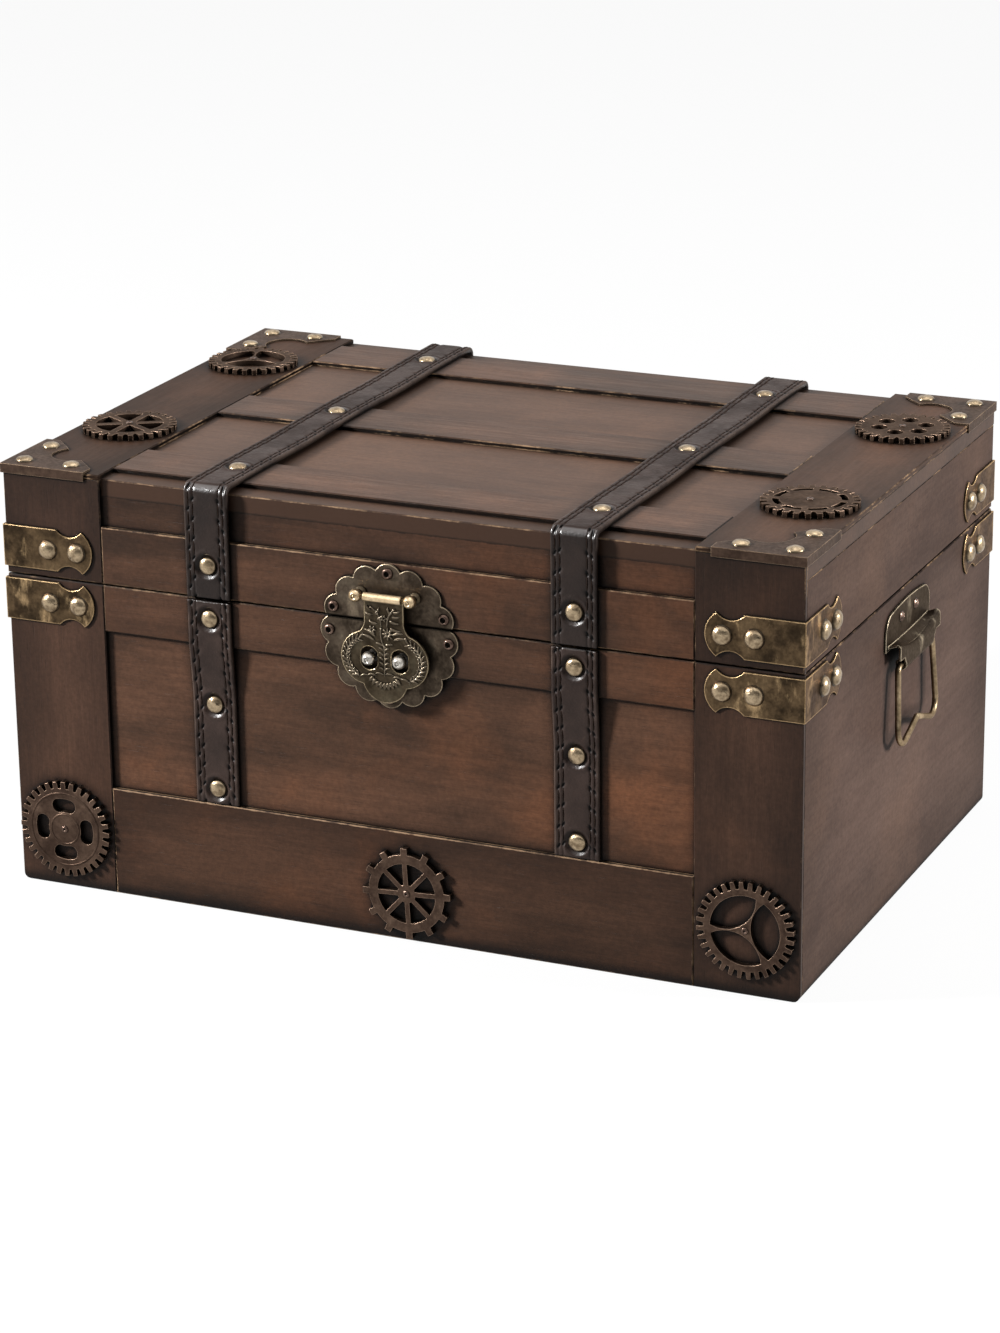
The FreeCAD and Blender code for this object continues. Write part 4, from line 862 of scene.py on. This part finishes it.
def dome_profile(radius, dome):
    """A nail's head from its crown to its rim."""
    profile = []
    for step in range(DOME_STEPS + 1):
        turn = math.pi / 2 * step / DOME_STEPS
        stain = max(0.0, step / DOME_STEPS - 0.60) * 2.2
        profile.append((radius * 0.94 * math.sin(turn), dome * (0.10 + 0.90 * math.cos(turn)), stain))
    return profile + [(radius, dome * 0.05, 1.0), (radius, -NAIL_SKIRT, 1.0)]


def turned_nails(node, body, material, seed):
    """All the nails of a CAD node; those in a strap are sunk, smaller and lower."""
    mesh = stained_mesh()
    strap_boxes = [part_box(f"{body}_{side}_strap") for side in HANDS]
    for nail in fasteners(node):
        turn = seed.uniform(0, 2 * math.pi)
        tilt = Matrix.Rotation(seed.uniform(-NAIL_TILT, NAIL_TILT), 4, "X")
        seat, radius, dome = nail.seat, nail.radius, nail.dome
        if any(low.x < seat.x < high.x for low, high in strap_boxes):
            seat = seat - nail.out * NAIL_SINK
            radius *= STRAP_NAIL_WIDTH
            dome *= STRAP_NAIL_HEIGHT
        place = facing(seat, nail.out, turn) @ tilt
        lathe(mesh, dome_profile(radius, dome), place, NAIL_SEGMENTS, NAIL_DENT)
    new_piece(f"{node}_hammered", mesh, material, body, (node,))


# Rows of radius and height, as shares of the head's own, and tarnish
EYELET = ((0, -0.25, 1.6), (0.36, -0.25, 1.6), (0.42, 0.85, 1.4), (0.52, 1.02, 0.35), (0.66, 1.02, 0.1),
          (0.82, 0.75, 0.3), (0.95, 0.32, 0.6), (1, 0, 1), (1, -0.2, 1))
EYELET_SEGMENTS = 32
GEAR_PIN = ((0, 0.2, 1.5), (0.22, 0.25, 1.3), (0.34, 0.85, 0.5), (0.6, 0.92, 0.2), (0.84, 0.6, 0.4),
            (1, 0.1, 1), (1, -0.2, 1))
GEAR_PIN_SEGMENTS = 24
LARGEST_PIN = 2.5 * MM
SLOTTED_HEAD = [(step / 13, 1 - (step / 13) ** 2, smooth(0.8, 1, step / 13)) for step in range(14)]
SLOTTED_SEGMENTS = 44
SLOT_DEPTH = 0.75
SCREW_SKIRT = 0.3 * MM


def turned_screws(node, body, material, seed):
    """All the screws of a CAD node, the gears' pins among them."""
    mesh = stained_mesh()
    latch_low, latch_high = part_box("latch_base_plate")
    for screw in fasteners(node):
        place = facing(screw.seat, screw.out, seed.uniform(0, math.pi))
        on_latch = screw.out.y < -0.5 and latch_low.x < screw.seat.x < latch_high.x
        slot, skirt = 0.0, []
        if screw.radius < LARGEST_PIN:
            rows, segments = GEAR_PIN, GEAR_PIN_SEGMENTS
        elif on_latch:
            rows, segments = EYELET, EYELET_SEGMENTS
        else:
            rows, segments = SLOTTED_HEAD, SLOTTED_SEGMENTS
            slot, skirt = SLOT_DEPTH * screw.dome, [(screw.radius, -SCREW_SKIRT, 0.0)]
        profile = [(screw.radius * radius, screw.dome * height, stain) for radius, height, stain in rows]
        lathe(mesh, profile + skirt, place, segments, slot=slot)
    new_piece(f"{node}_turned", mesh, material, body, (node,))


# Latch posts: a collar, a stem and a ball whose face is ringed and dimpled

POST_SEGMENTS = 32
POST_FACE = 0.88
BALL_TURNS = [math.radians(36 + step * 13.5) for step in range(9)]


def turned_posts(node, body, material, dimple):
    mesh = stained_mesh()
    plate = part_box("latch_base_plate")[0].y
    face_rows = ((0, -0.04, 0.3), (0.16, -0.06, 0.5), (0.26, -dimple, 0.9), (0.36, 0, 0.2), (0.50, 0.04, 0.0))
    for points in solids_of(node):
        low, high = corners_of(points)
        ball = (high.x - low.x) / 2
        seat = Vector(((low.x + high.x) / 2, plate, (low.z + high.z) / 2))
        middle = plate - low.y - ball
        face = middle + ball * POST_FACE
        profile = [(ball * radius, face + ball * rise, stain) for radius, rise, stain in face_rows]
        for step, turn in enumerate(BALL_TURNS):
            stain = max(0, step - 4) * 0.2
            profile.append((ball * math.sin(turn), middle + ball * math.cos(turn), stain))
        profile += [(ball * 0.58, middle - ball * 0.85, 0.9), (ball * 0.58, 0.9 * MM, 0.9),
                    (ball * 0.9, 0.8 * MM, 1.0), (ball * 0.9, 0, 1.0)]
        lathe(mesh, profile, facing(seat, FORWARD), POST_SEGMENTS)
    new_piece(f"{node}_turned", mesh, material, body, (node,))


# Foliage raised on the latch's tongue, in mm from the barrel's axis: vines, leaves, flowers and a fan

# Each stroke has its start, its end and how far it bows, as a share of its length
VINES = (((-7.5, -5), (-1.5, -16), 0.22), ((-1.5, -16), (0, -25.5), -0.12), ((6.5, -5), (1.8, -15), -0.18))
STEM = ((0, -25), (0, -41), 0.02)
LEAVES = (
    ((-7, -7), (-9.3, -4.6), 0.1), ((-6.3, -9), (-9.6, -8.4), 0.15), ((-4.6, -9), (-2.6, -5), -0.15),
    ((-3.6, -11.6), (-0.8, -9), -0.15), ((-3.4, -13.5), (-8, -12.4), 0.15), ((5.6, -7), (9.2, -5.6), -0.15),
    ((4.6, -9.4), (8.8, -8.8), -0.15), ((3.4, -11.4), (8.4, -12.4), -0.15), ((4.4, -8.2), (2.4, -4.6), 0.15),
    ((3.6, -15.4), (9.4, -16.4), -0.1), ((4.8, -19), (10.4, -17.6), 0.12),
    ((5.4, -21.6), (12.4, -20.2), 0.12), ((-4.6, -20.6), (-10.8, -17.4), -0.12),
    ((-5.2, -22.6), (-12.6, -20.4), -0.12))
# Leaves that are the same on both sides of the middle
PAIRED_LEAVES = (
    ((0.6, -25), (4.6, -24), 0.15), ((0.5, -27.4), (2.9, -26.2), 0.15), ((0.4, -30), (2.9, -28.8), 0.15),
    ((0.4, -32.6), (2.9, -31.2), 0.15), ((0.4, -35.2), (2.9, -33.8), 0.15),
    ((0.4, -37.8), (3.2, -36.6), 0.15), ((0.5, -40.4), (5.2, -40.2), 0.2),
    ((4.6, -41.2), (9.6, -41.6), 0.2), ((9.2, -41.4), (14.2, -43.4), 0.2))
# Each flower's middle, its count of petals and their length
FLOWERS = (((2.2, -18.6), 8, 3.3), ((-6.4, -17.2), 6, 2.3), ((0.2, -10.6), 5, 1.9))
PETAL_ROOT = 0.5
# The spray round each lobe: its middle, its radius, and the turns at which its leaves stand
LOBE = (10, -32.5)
LOBE_RADIUS = 10.6
LOBE_TURNS = tuple(range(-66, 73, 12))
# How far its leaves reach out or in, and how far they lean
LOBE_LEAVES = ((2.7, 16), (-2.7 * 0.6, 14))
FAN_MIDDLE = (0, -36.6)
FAN_TURNS = tuple(range(-48, 49, 12))
FAN_REACH = (8.0, 11.8)
RELIEF_STEPS = 8
# The ridge from side to side: shares of its half width and of its height
RELIEF_SECTION = ((-1, -0.25), (-0.72, 0.55), (-0.3, 0.95), (0.1, 0.78), (0.45, 0.92), (0.8, 0.5), (1, -0.25))


def bowed(start, end, bow):
    """Four points of a curve from start to end that bows to one side."""
    start, end = Vector(start), Vector(end)
    side = Vector((start.y - end.y, end.x - start.x)) * bow
    return [start, start.lerp(end, 1 / 3) + side, start.lerp(end, 2 / 3) + side, end]


def round_the(middle, radius, degrees):
    turn = math.radians(degrees)
    return Vector(middle) + Vector((math.cos(turn), math.sin(turn))) * radius


def on_side(point, side):
    """A point, or its mirror image on the other side of the middle."""
    return point[0] * side, point[1]


def bezier(points, share):
    rest = 1 - share
    weights = (rest ** 3, 3 * rest ** 2 * share, 3 * rest * share ** 2, share ** 3)
    return Vector([sum(weight * point[axis] for weight, point in zip(weights, points)) for axis in range(2)])


def leaf_taper(share):
    return 0.12 + 0.88 * math.sin(math.pi * share ** 0.75) ** 0.8


def stem_taper(share):
    return 1 - 0.45 * share


def even_taper(share):
    return 1


def raised_stroke(mesh, origin, points, half_width, height, taper):
    """A low ridge along a curve on the tongue's face; taper gives its width at each share of its length."""
    rings = []
    for step in range(RELIEF_STEPS + 1):
        share = step / RELIEF_STEPS
        middle = bezier(points, share)
        way = (bezier(points, min(1, share + 0.02)) - bezier(points, max(0, share - 0.02))).normalized()
        across = Vector((-way.y, way.x))
        width = half_width * taper(share)
        ring = []
        for side, rise in RELIEF_SECTION:
            place = middle + across * (side * width)
            lift = rise * height * min(1, 0.4 + taper(share)) if rise > 0 else rise * height
            ring.append(mesh.verts.new(origin + Vector((place.x * MM, -lift * MM, place.y * MM))))
        rings.append(ring)
    closed_skin(mesh, rings)


def foliage():
    mesh = bmesh.new()
    low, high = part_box("latch_tongue")
    face = min(corner.co.y for corner in nodes["latch_tongue"].data.vertices if corner.co.z < low.z + 20 * MM)
    origin = Vector((0, face, high.z - BARREL_RADIUS))

    def stroke(start, end, bow, half_width=0.85, height=0.95, taper=leaf_taper):
        raised_stroke(mesh, origin, bowed(start, end, bow), half_width, height, taper)

    for vine in VINES:
        stroke(*vine, 0.55, 0.7, stem_taper)
    stroke(*STEM, 0.5, 0.6, stem_taper)
    for leaf in LEAVES:
        stroke(*leaf)
    for middle, count, length in FLOWERS:
        for number in range(count):
            turn = 360 * number / count
            stroke(round_the(middle, PETAL_ROOT, turn), round_the(middle, length, turn), 0, 0.6)
    for side in SIDES:
        for start, end, bow in PAIRED_LEAVES:
            stroke(on_side(start, side), on_side(end, side), bow * side, 0.6)
        for degrees in LOBE_TURNS:
            root = round_the(LOBE, LOBE_RADIUS, degrees)
            for reach, lean in LOBE_LEAVES:
                tip = round_the(LOBE, LOBE_RADIUS + reach, degrees + lean)
                stroke(on_side(root, side), on_side(tip, side), 0.12 * side, 0.62)
        for turns in zip(LOBE_TURNS, LOBE_TURNS[1:]):
            ends = [on_side(round_the(LOBE, LOBE_RADIUS, degrees), side) for degrees in turns]
            stroke(*ends, -0.05 * side, 0.42, 0.6, even_taper)
    for degrees in FAN_TURNS:
        stroke(*(round_the(FAN_MIDDLE, reach, degrees - 90) for reach in FAN_REACH), 0, 1.3, 1.0)
    bronze = metal("foliage_bronze", FOLIAGE_PATINA, 0.5 * MM, shine=0.5, rub=0.5, green=0.2)
    new_piece("latch_tongue_foliage", mesh, bronze, "hasp")


# Two rings turned on the slotted gear's face, as shares of its radius, and their section
GEAR_RING_SHARES = (0.31, 0.76)
RING_HALF = 0.55 * MM
RING_RISE = 0.28 * MM
RING_SIDE = 0.1 * MM
RING_SECTION = ((-RING_HALF, -RING_RISE), (-RING_HALF, RING_SIDE), (-RING_HALF / 2, RING_RISE),
                (RING_HALF / 2, RING_RISE), (RING_HALF, RING_SIDE), (RING_HALF, -RING_RISE),
                (-RING_HALF, -RING_RISE))
RING_SEGMENTS = 72


def gear_rings():
    mesh = bmesh.new()
    low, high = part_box("front_left_gear")
    seat = Vector(((low.x + high.x) / 2, low.y, (low.z + high.z) / 2))
    for share in GEAR_RING_SHARES:
        radius = (high.x - low.x) / 2 * share
        profile = [(radius + across, rise, 0.0) for across, rise in RING_SECTION]
        lathe(mesh, profile, facing(seat, FORWARD), RING_SEGMENTS)
    bmesh.ops.remove_doubles(mesh, verts=mesh.verts, dist=WELD)
    copper = metal("gear_ring_copper", GEAR_PATINA, 0.3 * MM, shine=0.3, rub=0.3)
    new_piece("front_left_gear_rings", mesh, copper, "body")


NAIL_SEED = 7


def fittings():
    seed = random.Random(NAIL_SEED)
    brass = nail_finish("nail_brass", NAIL_PATINA, 0.9)
    bronze = nail_finish("screw_bronze", SCREW_PATINA, 1.0)
    gold = nail_finish("post_brass", PIN_PATINA, 0.9)
    pale = nail_finish("post_pale_brass", POST_PATINA, 0.9)
    for body in ("lid", "body"):
        turned_nails(f"{body}_nails", body, brass, seed)
        turned_screws(f"{body}_screws", body, bronze, seed)
    turned_posts("latch_hinge_posts", "lid", gold, dimple=0.2)
    turned_posts("latch_staple_posts", "body", pale, dimple=0.08)
    foliage()
    gear_rings()


# Stage, light and camera

PHOTO_HEIGHT = 1333
FOCAL_PIXELS = 4037.4
SENSOR = 36.0
CAMERA_AZIMUTH = math.radians(24.057)
CAMERA_TILT = math.radians(90 - 19.031)
CAMERA_ROLL = math.radians(-0.707)
CAMERA_TARGET = (0, 0, 0.115)
# How far the camera stands from its target: to its own right, upwards and back
CAMERA_OFFSET = (-5.95 * MM, -14.42 * MM, 2.1684)

WHITE = (1, 1, 1)
FLOOR_SIZE = 40.0
# The floor's paper as the light sees it, and its paler, faintly glowing look to the eye
FLOOR_PAPER = (0.24, 0.24, 0.24)
FLOOR_PALE = (0.9, 0.9, 0.9)
FLOOR_GLOW_SHARE = 0.92
# How bright the room is as light and as a background: before the chest, all round, and the ceiling's share
ROOM_LIGHT = (0.10, 0.20, 0.55)
ROOM_SEEN = (0.10, 1.0, 1.6)
# Each lamp's place, the point it is turned to, its width and its power in watts
LAMPS = {"key": ((-2.0, -1.2, 1.2), (0, 0, 0.1), 0.4, 138),
         "top": ((0.3, 0.4, 2.2), (0, 0, 0.2), 1.4, 11.5),
         "side": ((1.9, 0.35, 0.75), (0.2, 0, 0.1), 0.4, 52)}


def camera():
    turn = Matrix.Rotation(CAMERA_AZIMUTH, 4, "Z") @ Matrix.Rotation(CAMERA_TILT, 4, "X")
    turn = turn @ Matrix.Rotation(CAMERA_ROLL, 4, "Z")
    lens = bpy.data.cameras.new("photo_camera")
    lens.sensor_width = SENSOR
    lens.lens = FOCAL_PIXELS / PHOTO_HEIGHT * SENSOR
    eye = link("photo_camera", lens)
    eye.matrix_world = Matrix.Translation(CAMERA_TARGET) @ turn @ Matrix.Translation(CAMERA_OFFSET)
    bpy.context.scene.camera = eye


def lamp(name, place, target, size, power):
    light = bpy.data.lights.new(name, "AREA")
    light.shape = "DISK"
    light.size = size
    light.energy = power
    source = link(name, light)
    source.location = place
    source.rotation_euler = (Vector(target) - Vector(place)).to_track_quat("-Z", "Y").to_euler()


def studio_walls(room, before, strength, overhead):
    """How bright the room is each way: even all round, dimmer before the chest, with its own ceiling."""
    _, ahead, up = room.parts(room.add("TexCoord").outputs["Generated"])
    in_front = room.times(room.span(ahead, -0.15, -0.75), room.span(up, 0.9, 0.35))
    walls = room.span(in_front, 0, 1, strength, before)
    return room.times(walls, room.span(up, 0.4, 0.85, 1, overhead))


def stage():
    paper = Finish("floor_white", FLOOR_PAPER, Roughness=0.9, Specular_IOR_Level=0.0)
    pale = paper.add("BsdfDiffuse", {"Color": FLOOR_PALE}).outputs[0]
    glow = paper.add("Emission").outputs[0]
    shown = paper.add("MixShader", {0: FLOOR_GLOW_SHARE, 1: pale, 2: glow}).outputs[0]
    paper.feed(paper.tree.nodes["Material Output"].inputs["Surface"],
               paper.white_to_eye(paper.shader.outputs[0], shown))
    mesh = bmesh.new()
    bmesh.ops.create_grid(mesh, x_segments=1, y_segments=1, size=FLOOR_SIZE / 2)
    floor = mesh_object("floor", mesh, paper.material)

    world = bpy.data.worlds.new("studio")
    bpy.context.scene.world = world
    room = NodeTree(world)
    room.tree.nodes.clear()
    lit, seen = (room.add("Background", {"Color": WHITE, "Strength": studio_walls(room, *levels)}).outputs[0]
                 for levels in (ROOM_LIGHT, ROOM_SEEN))
    room.add("OutputWorld", {"Surface": room.white_to_eye(lit, seen)})
    for name, setting in LAMPS.items():
        lamp(name, *setting)


boards()
metalwork()
straps()
fittings()
stage()
camera()
bpy.context.scene.view_settings.view_transform = "Standard"
